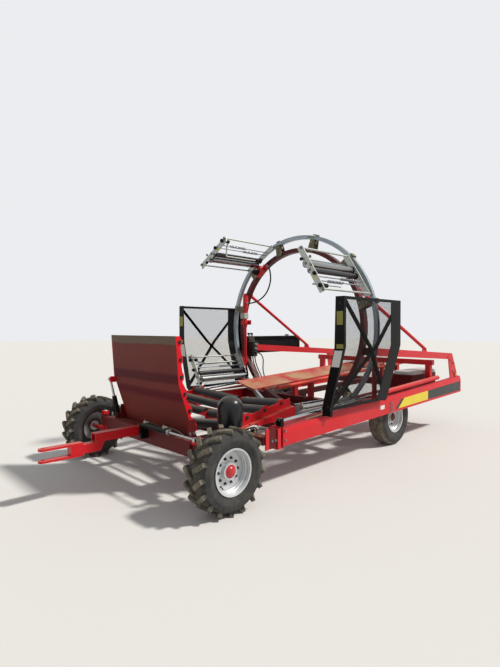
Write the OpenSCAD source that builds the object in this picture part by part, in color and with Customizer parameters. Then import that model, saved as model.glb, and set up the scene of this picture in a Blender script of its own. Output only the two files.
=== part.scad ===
// Towed inline bale wrapper: a wheeled frame, a wrapping hoop with four film
// dispensers, a roller table with a folding tailgate, and a push frame.
// Millimetres. +X is the drawbar end, +Y the left side, +Z up, Z 0 the ground.

/* [Overall] */
// Length from the drawbar tip to the rear of the side beams
overall_l = 6430; // [6200:10:6800]
// Distance from the front axle to the drawbar tip
hitch_reach = 1145; // [1100:5:1250]
// Distance between the axles
wheelbase = 3270; // [3220:10:3320]
// Distance from the front axle back to the hoop's middle plane
hoop_back = 2470; // [2460:5:2500]
// Width over the two side guards
overall_w = 3020; // [3000:5:3100]

/* [Side beams] */
// Outer face of a side beam, from the centre line
beam_y = 1250; // [1240:2:1260]
// Width of the folded channel
beam_w = 70; // [62:2:76]
// Sheet thickness of the channel
beam_t = 8; // [6:1:12]
// Distance from the front axle back to the front of the beam
beam_back = 800; // [780:5:840]
// Underside of the beam at its front end
beam_front_z = 440; // [420:5:460]
// Height of the beam at its front end
beam_front_h = 175; // [165:5:190]
// Underside of the beam at its rear end
beam_rear_z = 565; // [540:5:580]
// Height of the beam at its rear end
beam_rear_h = 265; // [250:5:280]

/* [Wheels] */
// Radius over the lugs or ribs
tyre_r = 380; // [376:1:386]
// Width of a tyre
tyre_w = 256; // [244:2:262]
// Radius of the rim flange
rim_r = 208; // [200:1:214]
// Middle plane of a front wheel, from the centre line
front_wheel_y = 1285; // [1280:1:1300]
// Middle plane of a rear wheel, from the centre line
rear_wheel_y = 1036; // [1020:2:1040]
// Height of a lug over the carcass
lug_h = 26; // [18:1:30]
// Lugs on each shoulder of a front tyre
lug_count = 17; // [15:1:19]
// Radius of the wheel spindles
spindle_r = 26; // [22:1:30]

/* [Hoop] */
// Height of the hoop's centre
hoop_z = 1630; // [1625:5:1650]
// Outer radius of the fixed hoop
hoop_r = 1160; // [1150:2:1170]
// Radial size of the fixed hoop's section
hoop_h = 60; // [54:2:66]
// Length of the fixed hoop's section along the machine
hoop_w = 84; // [76:2:90]
// Outer radius of the turning film ring
ring_r = 1340; // [1334:1:1342]
// Radial size of the film ring's section
ring_h = 55; // [50:1:58]
// Length of the film ring's section along the machine
ring_w = 50; // [44:2:60]
// Angle of the first dispenser's outer rod above the left side
dispenser_angle = 19.4; // [15:0.1:22]
// Angle between a dispenser's two rods, seen from the hoop's centre
dispenser_span = 26; // [25:0.5:27]
// Reach of the dispensers in front of the ring
dispenser_l = 990; // [960:5:1000]

/* [Roller table] */
// Radius of the rubber-covered rollers
roller_r = 51; // [46:1:53]
// Distance between rollers along the table
roller_pitch = 274; // [270:1:280]
// Slope of the table, down to the drawbar end
table_slope = 9.5; // [9:0.1:10]
// Angle of each roller, down to the middle
roller_dip = 6.6; // [6:0.1:7.4]
// Angle of each roller, back to the middle
roller_skew = 8; // [7:0.2:8.4]
// Inner face of a table side plate, from the centre line
table_y = 800; // [790:2:805]

/* [Tailgate] */
// Half the width of the tailgate sheet
gate_y = 650; // [640:2:655]
// Thickness of the sheet and its side plates
gate_t = 6; // [5:0.5:8]
// Height of the hinge above the ground
gate_hinge_z = 700; // [696:1:704]
// Distance from the front axle back to the hinge
gate_back = 100; // [98:1:104]
// Height of the sheet's lower edge
gate_bottom_z = 520; // [518:1:530]
// Height of the fold in the sheet
gate_fold_z = 1080; // [1070:5:1100]
// Height of the sheet's top
gate_top_z = 1550; // [1540:5:1570]
// Radius of the tailgate rollers
gate_roller_r = 28; // [24:1:29]

/* [Push frame] */
// Radius of a push cylinder's rod
push_rod_r = 19; // [16:1:22]
// Outer radius of a push cylinder's barrel
push_barrel_r = 34; // [31:1:36]
// Travel of the push frame towards the hoop
push_travel = 1700; // [1600:10:1700]
// Axis of a push cylinder, from the centre line
push_y = 1170; // [1168:1:1171]
// Axis of a push cylinder above the top of the side beam
push_rise = 54; // [50:1:60]

/* [Drawbar] */
// Side of the square drawbar tube
bar_s = 88; // [80:2:96]
// Wall of the drawbar tube
bar_t = 8; // [6:1:10]
// Radius of the hitch pin's hole
pin_r = 16; // [13:1:18]
// Thickness of a clevis plate
clevis_t = 20; // [16:1:24]

/* [Hidden] */
$fn = 64;

fit = 0.3;
run_gap = 0.05;
front_x = overall_l / 2 - hitch_reach;
rear_axle_x = front_x - wheelbase;
hoop_x = front_x - hoop_back;
beam_x = front_x - beam_back;
rear_x = -overall_l / 2;
beam_l = beam_x - rear_x;
frame_slope = atan2(beam_rear_z + beam_rear_h - beam_front_z - beam_front_h, beam_l);
guard_y = overall_w / 2;

red = [0.78, 0.07, 0.09];
dark_red = [0.42, 0.05, 0.06];
black = [0.07, 0.07, 0.08];
grey = [0.55, 0.57, 0.58];
galvanised = [0.72, 0.74, 0.75];
silver = [0.80, 0.81, 0.82];

// Underside and top of the side beam at a place along the machine
function beam_bottom(x) = beam_front_z + (beam_rear_z - beam_front_z) * (beam_x - x) / beam_l;
function beam_top(x) = beam_bottom(x)
    + beam_front_h + (beam_rear_h - beam_front_h) * (beam_x - x) / beam_l;
function on_ring(r, a) = [0, r * cos(a), hoop_z + r * sin(a)];

// A round bar between two points
module rod(a, b, r) {
    d = b - a;
    l = norm(d);
    translate(a)
        rotate([0, acos(d[2] / l), atan2(d[1], d[0])])
            cylinder(r = r, h = l);
}

// A rectangular bar between two points: w across, h in the upright plane
module bar(a, b, w, h) {
    d = b - a;
    l = norm(d);
    translate(a)
        rotate([0, -asin(d[2] / l), atan2(d[1], d[0])])
            translate([0, -w / 2, -h / 2])
                cube([l, w, h]);
}

// A plate drawn in the side view, between two distances from the centre line
module side_plate(points, y0, y1) {
    translate([0, y1, 0])
        rotate([90, 0, 0])
            linear_extrude(y1 - y0)
                polygon(points);
}

// A section drawn across the machine, between two places along it
module across(points, x0, x1) {
    translate([x0, 0, 0])
        rotate([90, 0, 90])
            linear_extrude(x1 - x0)
                polygon(points);
}

module mirrored() {
    children();
    mirror([0, 1, 0])
        children();
}

/* Side beams */
fold_share = 0.28;
fold_in = 16;
post_t = 12;
post_gap = 70;
ledge_w = 110;

// Outline across the channel: inner wall first, with the fold near the top
function beam_outline(z, h, inset, reach) = [
    [beam_y - beam_w - reach, z + inset],
    [beam_y - inset, z + inset],
    [beam_y - inset, z + h * (1 - fold_share)],
    [beam_y - fold_in - inset, z + h - inset],
    [beam_y - beam_w - reach, z + h - inset]
];

module beam_body(inset, reach) {
    hull() {
        across(beam_outline(beam_front_z, beam_front_h, inset, reach), beam_x - 1, beam_x);
        across(beam_outline(beam_rear_z, beam_rear_h, inset, reach), rear_x, rear_x + 1);
    }
}

module side_beam() {
    difference() {
        beam_body(0, 0);
        beam_body(beam_t, 20);
    }
    // Two upright plates close the front end
    for (dx = [fit, fit + post_t + post_gap])
        translate([beam_x + dx, beam_y - beam_w - 60, beam_front_z - 22])
            cube([post_t, beam_w + 60, beam_front_h + 34]);
    translate([beam_x, beam_y - 60, beam_front_z - 10])
        cube([2 * post_t + post_gap, 14, beam_front_h]);
    translate([rear_x, beam_y - beam_w, beam_rear_z])
        cube([beam_t, beam_w - fold_in, beam_rear_h]);
    // Ledge on the inner side, from the front end to the guard's rear edge
    side_plate([
        [beam_x, beam_top(beam_x) - beam_t], [beam_x, beam_top(beam_x)],
        [guard_rear_x, beam_top(guard_rear_x)], [guard_rear_x, beam_top(guard_rear_x) - beam_t]
    ], beam_y - beam_w - ledge_w, beam_y - beam_w + 1);
}

module side_beams() {
    color(red)
        mirrored()
            side_beam();
}

/* Cross members, which tie the side beams together */
cross_s = 120;
cross_t = 8;
front_cross_x = front_x - 575;
front_cross_h = 75;
mid_cross_x = front_x - 1290;
mid_cross_h = 64;
hoop_cross_x = hoop_x - 150;
rear_cross_x = rear_x + 130;
spine_y = 520;
long_w = 100;
long_z = 438;
axle_beam_h = 150;
axle_beam_w = 130;
axle_beam_z = 410;
axle_beam_y = 830;
long_h = 52;
front_cross_z = long_z + long_h + fit;
post_front_x = beam_x + fit + 2 * post_t + post_gap;
drum_arm_x = front_x - 400;
drum_arm_w = 90;

// A square-cornered tube across the machine, between two faces of its walls
module box_tube_y(x, z, half, s, h) {
    difference() {
        translate([x - s / 2, -half, z])
            cube([s, 2 * half, h]);
        translate([x - s / 2 + cross_t, -half - 1, z + cross_t])
            cube([s - 2 * cross_t, 2 * half + 2, h - 2 * cross_t]);
    }
}

module cross_members() {
    in_channel = beam_y - beam_t - fit;
    color(dark_red) {
        box_tube_y(front_cross_x, front_cross_z, beam_y - fold_in, cross_s, front_cross_h);
        box_tube_y(mid_cross_x, beam_bottom(mid_cross_x) + beam_t + 2, in_channel, cross_s, mid_cross_h);
        box_tube_y(hoop_cross_x, beam_bottom(hoop_cross_x) + beam_t + 2, in_channel, cross_s, cross_s);
        box_tube_y(rear_cross_x, beam_bottom(rear_cross_x) + beam_t + 2, in_channel, cross_s, cross_s);
        mirrored() {
            // Blocks between the front cross tube and the end plates of the side beams
            translate([post_front_x + fit, beam_y - beam_w - 50, front_cross_z])
                cube([front_cross_x - cross_s / 2 - post_front_x - 2 * fit, beam_w + 50 - fold_in, front_cross_h]);
            // Longitudinal tubes from the front axle beam, under the front cross tube
            translate([front_cross_x - cross_s / 2, spine_y - long_w / 2, long_z])
                cube([front_x - axle_beam_w / 2 - fit - front_cross_x + cross_s / 2, long_w, long_h]);
            // Outriggers that carry the drums
            translate([drum_arm_x - drum_arm_w / 2, spine_y + long_w / 2 + fit, long_z])
                cube([drum_arm_w, drum_y + 40 - spine_y - long_w / 2, long_h]);
            translate([drum_arm_x, drum_y, long_z + long_h - 1])
                cylinder(r = 40, h = drum_z - fit - long_z - long_h + 1);
            // Longitudinal tubes behind the hoop
            bar([rear_cross_x + cross_s / 2 + 1.4, spine_y, beam_bottom(rear_cross_x) + cross_s / 2 + 10],
                [hoop_cross_x - cross_s / 2 - 1.4, spine_y, beam_bottom(hoop_cross_x) + cross_s / 2 + 10], 80, 80);
        }
    }
}

/* Front axle beam with its kingpin eyes */
king_y = 1000;
king_r = 28;
king_tube_r = 46;
king_z = 440;
king_h = 130;

module front_axle_beam() {
    color(dark_red) {
        difference() {
            union() {
                translate([front_x - axle_beam_w / 2, -axle_beam_y, axle_beam_z])
                    cube([axle_beam_w, 2 * axle_beam_y, axle_beam_h]);
                mirrored()
                    translate([front_x - 40, axle_beam_y - 1, axle_beam_z + 40])
                        cube([80, king_y - axle_beam_y, 90]);
                mirrored()
                    translate([front_x, king_y, king_z])
                        cylinder(r = king_tube_r, h = king_h);
            }
            mirrored()
                translate([front_x, king_y, king_z - 1])
                    cylinder(r = king_r + run_gap, h = king_h + 2);
        }
        // Hinge lugs for the tailgate, each with its pin
        mirrored() {
            translate([gate_hinge_x - 24, gate_y + gate_t + fit, axle_beam_z + axle_beam_h - 50])
                cube([90, hinge_lug_t, gate_hinge_z - axle_beam_z - axle_beam_h + 74]);
            translate([gate_hinge_x, gate_y - 6, gate_hinge_z])
                rotate([-90, 0, 0])
                    cylinder(r = gate_pin_r, h = gate_t + fit + 10);
        }
        // Ears and pin for the tailgate cylinder
        translate(gate_cyl_base)
            rotate([-90, 0, 0])
                translate([0, 0, -27])
                    cylinder(r = gate_pin_r, h = 54);
        for (y = [gate_cyl_y - 27, gate_cyl_y + 15 + fit])
            translate([gate_cyl_base[0] - 24, y, axle_beam_z + axle_beam_h - 1])
                cube([48, 12 - fit, gate_cyl_base[2] + 24 - axle_beam_z - axle_beam_h]);
    }
}

/* Drawbar: rear tube, lower front tube and clevis */
bar_z = 548;
bar_rear_x = front_x + axle_beam_w / 2 + fit;
bar_front_x = front_x + 620;
nose_rear_x = front_x + 520;
nose_front_x = front_x + 860;
clevis_x = overall_l / 2;
clevis_mid_z = bar_z - bar_s;
clevis_r = 42;
clevis_gap = bar_s + 2 * fit;
bar_bevel = 46;

module drawbar() {
    color(red) {
        difference() {
            translate([bar_rear_x, -bar_s / 2, bar_z - bar_s / 2])
                cube([bar_front_x - bar_rear_x, bar_s, bar_s]);
            translate([bar_rear_x - 1, -bar_s / 2 + bar_t, bar_z - bar_s / 2 + bar_t])
                cube([bar_front_x - bar_rear_x + 2, bar_s - 2 * bar_t, bar_s - 2 * bar_t]);
        }
        side_plate([
            [nose_rear_x, bar_z - bar_s / 2], [nose_front_x, bar_z - bar_s / 2],
            [nose_front_x, bar_z - 3 * bar_s / 2], [nose_rear_x + bar_bevel, bar_z - 3 * bar_s / 2]
        ], -bar_s / 2, bar_s / 2);
        difference() {
            for (s = [-1, 1])
                translate([0, 0, clevis_mid_z + s * (clevis_gap + clevis_t) / 2 - clevis_t / 2])
                    linear_extrude(clevis_t)
                        union() {
                            translate([clevis_x - clevis_r, 0])
                                circle(r = clevis_r);
                            translate([nose_front_x - 120, -clevis_r])
                                square([clevis_x - clevis_r - nose_front_x + 120, 2 * clevis_r]);
                        }
            translate([clevis_x - clevis_r, 0, clevis_mid_z - clevis_gap])
                cylinder(r = pin_r, h = 2 * clevis_gap);
        }
    }
}

/* Roller table at the exit end */
table_mid_x = front_x - 845;
table_mid_z = 700;
table_t = 8;
table_count = 4;
table_depth = 70;
table_front = 334;
table_flange_w = 70;
skirt_front = 60;
skirt_h = 130;
roller_core_r = 12;
roller_in = 52;
short_y = 742;
bracket_y = 28;
bracket_reach = 132;
spine_top = 172.5;
spine_h = 60;

// Places an upright frame on the sloping table, x along it
module on_table() {
    translate([table_mid_x, 0, table_mid_z])
        rotate([0, table_slope, 0])
            children();
}

function roller_along(i) = (i - (table_count - 1) / 2) * roller_pitch;
// Inner face of the plate that carries a roller: the one nearest the drawbar is shorter
function roller_end(i) = i == table_count - 1 ? short_y : table_y;
function skew_of(i) = i == table_count - 1 ? 0 : roller_skew;
// Distance along a roller's axis from its outer end to a distance from the centre line
function down_axis(i, y) = (roller_end(i) - y) / cos(roller_dip) / cos(skew_of(i));
// Place of a roller's inner end on the sloping table
function inner_along(i) = roller_along(i) - (roller_end(i) - bracket_y) * tan(skew_of(i));
function inner_drop(i) = -(roller_end(i) - bracket_y) * tan(roller_dip) / cos(skew_of(i));
// Height of a point of the sloping table, from its distance above the rollers' outer ends
function table_z(x, up) = table_mid_z + up / cos(table_slope) - (x - table_mid_x) * tan(table_slope);

// Turns its children so that z runs down a roller's axis from its outer end
module on_roller(i) {
    translate([roller_along(i), roller_end(i), 0])
        rotate([0, 0, -skew_of(i)])
            rotate([90 + roller_dip, 0, 0])
                children();
}

module table_side_plates() {
    rear = -table_count * roller_pitch / 2 - 15;
    color(red) {
        on_table()
            mirrored() {
                difference() {
                    union() {
                        side_plate([
                            [rear, -table_depth], [table_front, -table_depth], [table_front, 20],
                            for (i = [table_count - 2 : -1 : 0]) each [
                                [roller_along(i) + 60, 20], [roller_along(i) + 34, 46],
                                [roller_along(i) - 34, 46], [roller_along(i) - 60, 20]
                            ],
                            [rear, 20]
                        ], table_y, table_y + table_t);
                        // Flange folded outwards at the plate's foot, and its skirt
                        translate([rear, table_y, -table_depth - table_t])
                            cube([table_front - rear, table_flange_w, table_t]);
                        side_plate([
                            [rear, -table_depth - 1], [skirt_front, -table_depth - 1],
                            [skirt_front, -table_depth - 40], [rear, -table_depth - skirt_h]
                        ], table_y + table_flange_w - table_t, table_y + table_flange_w);
                    }
                    for (i = [0 : table_count - 2])
                        on_roller(i)
                            translate([0, 0, -20])
                                cylinder(r = roller_core_r + fit, h = 40);
                }
            }
        // Short plates for the first pair of rollers, on the outriggers
        mirrored()
            difference() {
                translate([drum_arm_x - drum_arm_w / 2, short_y, long_z + long_h + fit])
                    cube([drum_arm_w, table_t, table_z(drum_arm_x - drum_arm_w / 2, 34) - long_z - long_h]);
                on_table()
                    on_roller(table_count - 1)
                        translate([0, 0, -20])
                            cylinder(r = roller_core_r + fit, h = 40);
            }
        // Feet on the two cross tubes
        mirrored()
            for (p = [
                [front_cross_x - 30, front_cross_z + front_cross_h],
                [mid_cross_x, beam_bottom(mid_cross_x) + beam_t + 2 + mid_cross_h]
            ])
                translate([p[0] - 25, table_y + table_t, p[1] + fit])
                    cube([50, 54, table_z(p[0] - 25, -table_depth - 3) - p[1]]);
    }
}

// Centre tube with the pointed brackets that hold the rollers' inner ends
module table_spine() {
    color(red)
        on_table() {
            difference() {
                translate([inner_along(0) - 60, -40, -spine_top - spine_h])
                    cube([inner_along(table_count - 1) + 100 - inner_along(0), 80, spine_h]);
                translate([inner_along(0) - 61, -34, -spine_top - spine_h + 6])
                    cube([inner_along(table_count - 1) + 102 - inner_along(0), 68, spine_h - 12]);
            }
            mirrored()
                difference() {
                    for (i = [0 : table_count - 1])
                        translate([inner_along(i), 0, inner_drop(i)])
                            side_plate([
                                [-44, -spine_top - 1 - inner_drop(i)], [30, -spine_top - 1 - inner_drop(i)],
                                [34, -40], [bracket_reach, 20], [-96, 24], [-60, 8], [-44, -40]
                            ], bracket_y, bracket_y + table_t);
                    for (i = [0 : table_count - 1])
                        on_roller(i)
                            cylinder(r = roller_core_r + fit, h = table_y);
                }
        }
}

module table_rollers() {
    color(black)
        on_table()
            mirrored()
                for (i = [0 : table_count - 1])
                    on_roller(i) {
                        translate([0, 0, 10])
                            cylinder(r = roller_r, h = down_axis(i, roller_in) - 10);
                        translate([0, 0, -12])
                            cylinder(r = roller_core_r, h = down_axis(i, bracket_y) + 10);
                    }
}

/* Guide drums beside the table */
drum_r = 128;
drum_y = 885;
drum_x = drum_arm_x;
drum_z = 640;
drum_h = 260;

module guide_drums() {
    color(black)
        mirrored()
            translate([drum_x, drum_y, drum_z])
                rotate_extrude()
                    polygon([
                        [0, 0], [drum_r, 0], [drum_r, drum_h],
                        for (a = [15 : 15 : 75]) [drum_r * cos(a), drum_h + 50 * sin(a)],
                        [0, drum_h + 50]
                    ]);
}

/* Fixed hoop */
module ring_section(r, h, w) {
    translate([hoop_x, 0, hoop_z])
        rotate([0, 90, 0])
            rotate_extrude($fn = 128)
                translate([r - h, -w / 2])
                    square([h, w]);
}

module hoop() {
    color(red)
        ring_section(hoop_r, hoop_h, hoop_w);
    color(red)
        mirrored() {
            // Feet on the cross member behind the hoop
            translate([hoop_cross_x + cross_s / 2 + fit, 440, 560])
                cube([hoop_x - hoop_w / 2 - hoop_cross_x - cross_s / 2 + 20, 60, 58]);
            // Pads for the side rails
            translate([hoop_x - hoop_w / 2, 1080, rail_front_z - rail_h / 2])
                cube([14, rail_y + 30 - 1080, rail_h]);
        }
}

/* Guide rollers between the hoop and the film ring */
guide_count = 12;
guide_roller_r = 40;
clamp_t = 10;
clamp_out = ring_r + 20;

module hoop_guide_rollers() {
    // None where the side rails meet the hoop
    for (i = [0 : guide_count - 1]) if (i != guide_count / 2 && i != guide_count - 1) {
        a = (i + 0.5) * 360 / guide_count;
        translate([hoop_x, 0, hoop_z])
            rotate([a, 0, 0]) {
                color(grey)
                    translate([-ring_w / 2, ring_r - ring_h - guide_roller_r - fit, 0])
                        rotate([0, 90, 0])
                            cylinder(r = guide_roller_r, h = ring_w);
                // Clamp: a front and a back plate on the hoop, and a hook over the ring's rim
                color(red) {
                    across([
                        [hoop_r - 50, -56], [hoop_r - 50, 56], [ring_r - ring_h + 5, 34], [ring_r - ring_h + 5, -34]
                    ], hoop_w / 2 + fit, hoop_w / 2 + fit + clamp_t);
                    across([
                        [hoop_r - 50, -56], [hoop_r - 50, 56], [clamp_out, 30], [clamp_out, -30]
                    ], -hoop_w / 2 - fit - clamp_t, -hoop_w / 2 - fit);
                    translate([-hoop_w / 2 - fit - 1, ring_r + 6, -30])
                        cube([hoop_w / 2 + fit + 21, clamp_out - ring_r - 6, 60]);
                    translate([-hoop_w / 2 - fit - 1, ring_r - ring_h - guide_roller_r - 12, -12])
                        cube([hoop_w / 2 - ring_w / 2 + fit + 2, 24, 24]);
                }
            }
    }
}

/* Rails behind the hoop and the diagonal stays */
rail_y = 1170;
rail_front_z = 1330;
rail_rear_z = 1170;
rail_rear_x = rear_x + 280;
rail_w = 82;
rail_h = 100;
rail_tilt = atan2(rail_front_z - rail_rear_z, hoop_x - hoop_w / 2 - rail_rear_x);
rail_front_x = hoop_x - hoop_w / 2 - fit - rail_h / 2 * sin(rail_tilt);

function rail_top(x) = rail_rear_z + rail_h / 2 + 0.5
    + (rail_front_z - rail_rear_z) * (x - rail_rear_x) / (rail_front_x - rail_rear_x);

module side_rails() {
    color(red)
        mirrored() {
            bar([rail_front_x, rail_y, rail_front_z], [rail_rear_x, rail_y, rail_rear_z], rail_w, rail_h);
            side_plate([
                [rail_rear_x, rail_rear_z + rail_h / 2 - 2], [rear_x + 60, beam_top(rear_x + 60) + fit],
                [rear_x + 360, beam_top(rear_x + 360) + fit], [rail_rear_x + 160, rail_rear_z]
            ], rail_y + rail_w / 2 - 1, rail_y + rail_w / 2 + 8);
            // Upright at the hoop, on the side beam, outside the push cylinder
            translate([rail_front_x - 90, push_y + push_barrel_r + 6, beam_top(rail_front_x - 90) + fit])
                cube([80, 24, rail_front_z - beam_top(rail_front_x - 90) - 20]);
        }
}

stay_r = 24;
stay_foot_x = rear_x + 1120;
stay_y = 1000;
stay_z = hoop_z + 520;

module hoop_stays() {
    foot_z = rail_top(stay_foot_x) + stay_r + 12;
    foot_y = rail_y - 20;
    color(red)
        mirrored() {
            rod([hoop_x - hoop_w / 2 - 14, stay_y, stay_z], [stay_foot_x, foot_y, foot_z], stay_r);
            // Lug on the hoop's back and gusset on the rail
            translate([hoop_x - hoop_w / 2 - fit - 40, stay_y - 12, stay_z - 30])
                cube([40, 24, 60]);
            side_plate([
                [stay_foot_x - 60, rail_top(stay_foot_x - 60) + fit],
                [stay_foot_x + 100, rail_top(stay_foot_x + 100) + fit],
                [stay_foot_x + 90, foot_z + 20], [stay_foot_x - 10, foot_z]
            ], foot_y - 6, foot_y + 6);
        }
}

/* Loading deck: two folded slides that carry the bales through the hoop */
deck_front_x = front_x - 1660;
deck_rear_x = rear_x + 200;
deck_front_z = 870;
deck_y = 380;

module loading_deck() {
    l = (deck_front_x - deck_rear_x) / cos(frame_slope);
    color(red)
        mirrored()
            translate([deck_front_x, 0, deck_front_z])
                rotate([0, frame_slope, 0])
                    translate([-l, 0, 0]) {
                        across([[60, -70], [deck_y, 0], [deck_y, 12], [60, -58]], 0, l);
                        translate([0, deck_y, 0])
                            rotate([0, 90, 0])
                                cylinder(r = 24, h = l);
                    }
    color(dark_red)
        mirrored()
            for (x = [hoop_cross_x, rear_cross_x])
                translate([x - 40, 120, beam_bottom(x) + beam_t + cross_s + 2 + fit])
                    cube([80, 60, deck_front_z + (deck_front_x - x) * tan(frame_slope) - 52
                        - beam_bottom(x) - beam_t - cross_s]);
}

/* Side guards: a folded panel in front, a rear band, tubes, crossed bars and a net */
guard_front_x = front_x - 1470;
guard_rear_x = front_x - 2700;
guard_top_z = 1975;
guard_mid_z = 1420;
guard_low_z = 716;
guard_low_out = 70;
guard_low_y = beam_y + guard_low_out;
guard_panel_w = 112;
guard_t = 5;
guard_tube = 32;
guard_band_w = 230;
guard_bar_w = 26;
guard_bar_t = 8;
net_t = 3;

// Outer face of a guard at a height
function guard_out(z) = z > guard_mid_z
    ? guard_y
    : guard_y - (guard_y - guard_low_y) * (guard_mid_z - z) / (guard_mid_z - guard_low_z);

// Strip that follows the guard's bent side, inset from its outer face
module guard_strip(x0, x1, z0, z1, inset, t) {
    across([
        [guard_out(z0) - inset, z0], [guard_y - inset, guard_mid_z], [guard_y - inset, z1],
        [guard_y - inset - t, z1], [guard_y - inset - t, guard_mid_z], [guard_out(z0) - inset - t, z0]
    ], x0, x1);
}

module side_guard() {
    x0 = guard_rear_x + guard_t;
    x1 = guard_front_x - guard_t;
    // Front and rear panels, bent at mid height
    for (x = [guard_front_x - guard_t, guard_rear_x])
        across([
            [push_y + push_barrel_r + 10, guard_low_z], [guard_low_y, guard_low_z],
            [guard_y, guard_mid_z], [guard_y, guard_top_z],
            [guard_y - guard_panel_w, guard_top_z], [guard_y - guard_panel_w - 14, guard_mid_z]
        ], x, x + guard_t);
    // Top and bottom tubes
    for (p = [[guard_top_z - guard_tube, guard_y], [guard_low_z, guard_low_y]])
        translate([x0 - 1, p[1] - guard_tube, p[0]])
            cube([x1 - x0 + 2, guard_tube, guard_tube]);
    // Rear band and front edge strip of the side
    guard_strip(x0 - 1, x0 + guard_band_w, guard_low_z + 1, guard_top_z - 1, 0, guard_t);
    guard_strip(x1 - guard_tube, x1 + 1, guard_low_z + 1, guard_top_z - 1, 0, guard_t);
    // Crossed bars behind the net, in the plane of the upper and of the lower half
    for (flip = [0, 1])
        intersection() {
            guard_strip(x0, x1, guard_low_z + 1, guard_top_z - 1, guard_t - 1, guard_bar_t);
            translate([0, guard_low_y - guard_tube - 100, 0])
                rotate([-90, 0, 0])
                    linear_extrude(400)
                        let (
                            a = [flip == 0 ? x0 : x1, -guard_low_z - 10],
                            b = [flip == 0 ? x1 : x0, -guard_top_z + 10]
                        )
                        polygon([
                            a + [0, -guard_bar_w], a + [0, guard_bar_w], b + [0, guard_bar_w], b + [0, -guard_bar_w]
                        ]);
        }
    // Feet on the side beam
    for (x = [guard_front_x - 60, guard_rear_x + 20])
        translate([x, push_y + push_barrel_r + 6, beam_top(x) + fit])
            cube([40, guard_low_y - push_y - push_barrel_r - 6, guard_low_z - beam_top(x) - fit + 10]);
}

module side_guards() {
    color(black)
        mirrored()
            side_guard();
}

// Nets, each a thin bent sheet between the front edge strip and the rear band
module guard_nets() {
    color(black)
        mirrored()
            guard_strip(guard_rear_x + guard_t + guard_band_w + fit, guard_front_x - guard_t - guard_tube - fit,
                guard_low_z + guard_tube + fit, guard_top_z - guard_tube - fit, 0, net_t);
}

/* Ring drive: motor and its box on the hoop's upper right */
module ring_drive() {
    color(dark_red)
        translate([hoop_x, 0, hoop_z])
            rotate([127, 0, 0])
                translate([hoop_w / 2 + fit, hoop_r - 110, -80])
                    cube([90, 100, 160]);
}

/* Film cutter on the hoop's right leg */
module film_cutter() {
    color(red) {
        translate([hoop_x + hoop_w / 2 + fit, -1030, 1980])
            cube([60, 60, 180]);
        rod([hoop_x + hoop_w / 2 + 31, -1000, 1080], [hoop_x + hoop_w / 2 + 31, -1000, 1980], 18);
        translate([hoop_x + hoop_w / 2 + fit, -1020, 1080])
            cube([40, 40, 60]);
    }
}

/* Oil tank outside the right rail, behind the hoop */
tank_l = 1190;
tank_w = 240;
tank_z = 1215;
tank_h = 215;

module oil_tank() {
    color(black)
        translate([hoop_x - 340 - tank_l, -rail_y - rail_w / 2 - fit - tank_w, tank_z])
            cube([tank_l, tank_w, tank_h]);
}

/* Valve block on the back of the hoop's right leg */
module valve_block() {
    color(grey)
        translate([hoop_x - hoop_w / 2 - fit - 80, -1080, 1180])
            cube([80, 150, 240]);
}

/* Light cover over the left rear bay */
module bay_cover() {
    color(galvanised)
        translate([rear_x + 300, 640, 900])
            cube([900, 340, 60]);
    color(dark_red)
        translate([rear_x + 320, spine_y + 40 + fit, beam_bottom(rear_x + 320)])
            cube([860, 400, 900 - beam_bottom(rear_x + 320) + 1]);
}

/* Rear axle */
rear_axle_seat_z = beam_bottom(hoop_cross_x) + cross_s / 2 + 10 - 40.5
    + (beam_bottom(rear_cross_x) - beam_bottom(hoop_cross_x)) * (hoop_cross_x - rear_axle_x - 45)
    / (hoop_cross_x - rear_cross_x);

module rear_axle() {
    color(dark_red)
        translate([rear_axle_x - 45, -820, tyre_r - 45])
            cube([90, 1640, 90]);
    color(silver)
        mirrored()
            translate([rear_axle_x, 820, tyre_r])
                rotate([-90, 0, 0])
                    cylinder(r = spindle_r, h = rear_wheel_y + 60 - 820);
    // Posts up to the longitudinal tubes
    color(dark_red)
        mirrored()
            translate([rear_axle_x - 45, spine_y - 30, tyre_r + 44])
                cube([90, 60, rear_axle_seat_z - tyre_r - 44 - 2 * fit]);
}

/* Push cylinders: rods fixed at the front of the side beams, barrels on the push frame */
push_rod_front_x = beam_x - 30;
push_barrel_front_x = front_x - 2760;
push_rod_in = 60;
push_clamp_l = 50;
push_bottom_t = 30;
push_barrel_l = push_travel + push_rod_in + push_bottom_t + 10;
push_arm_x = push_barrel_front_x - push_barrel_l + 60;
push_arm_w = 80;

// Places its children on the axis of the left push cylinder, x along it
module on_push_line() {
    translate([push_barrel_front_x, push_y, beam_top(push_barrel_front_x) + push_rise])
        rotate([0, frame_slope, 0])
            children();
}

module push_rods() {
    l = (push_rod_front_x - push_barrel_front_x) / cos(frame_slope);
    color(silver)
        mirrored()
            on_push_line()
                translate([-push_rod_in, 0, 0])
                    rotate([0, 90, 0])
                        cylinder(r = push_rod_r, h = l + push_rod_in);
    color(red)
        mirrored()
            translate([beam_x - push_clamp_l, push_y - 30, beam_top(beam_x - push_clamp_l) + fit])
                cube([push_clamp_l - 4, 60, push_rise + 30]);
}

module push_barrels() {
    color(silver)
        mirrored()
            on_push_line()
                difference() {
                    translate([-push_barrel_l, 0, 0])
                        rotate([0, 90, 0])
                            cylinder(r = push_barrel_r, h = push_barrel_l);
                    translate([-push_barrel_l + push_bottom_t, 0, 0])
                        rotate([0, 90, 0])
                            cylinder(r = push_rod_r + fit, h = push_barrel_l);
                }
}

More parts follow.
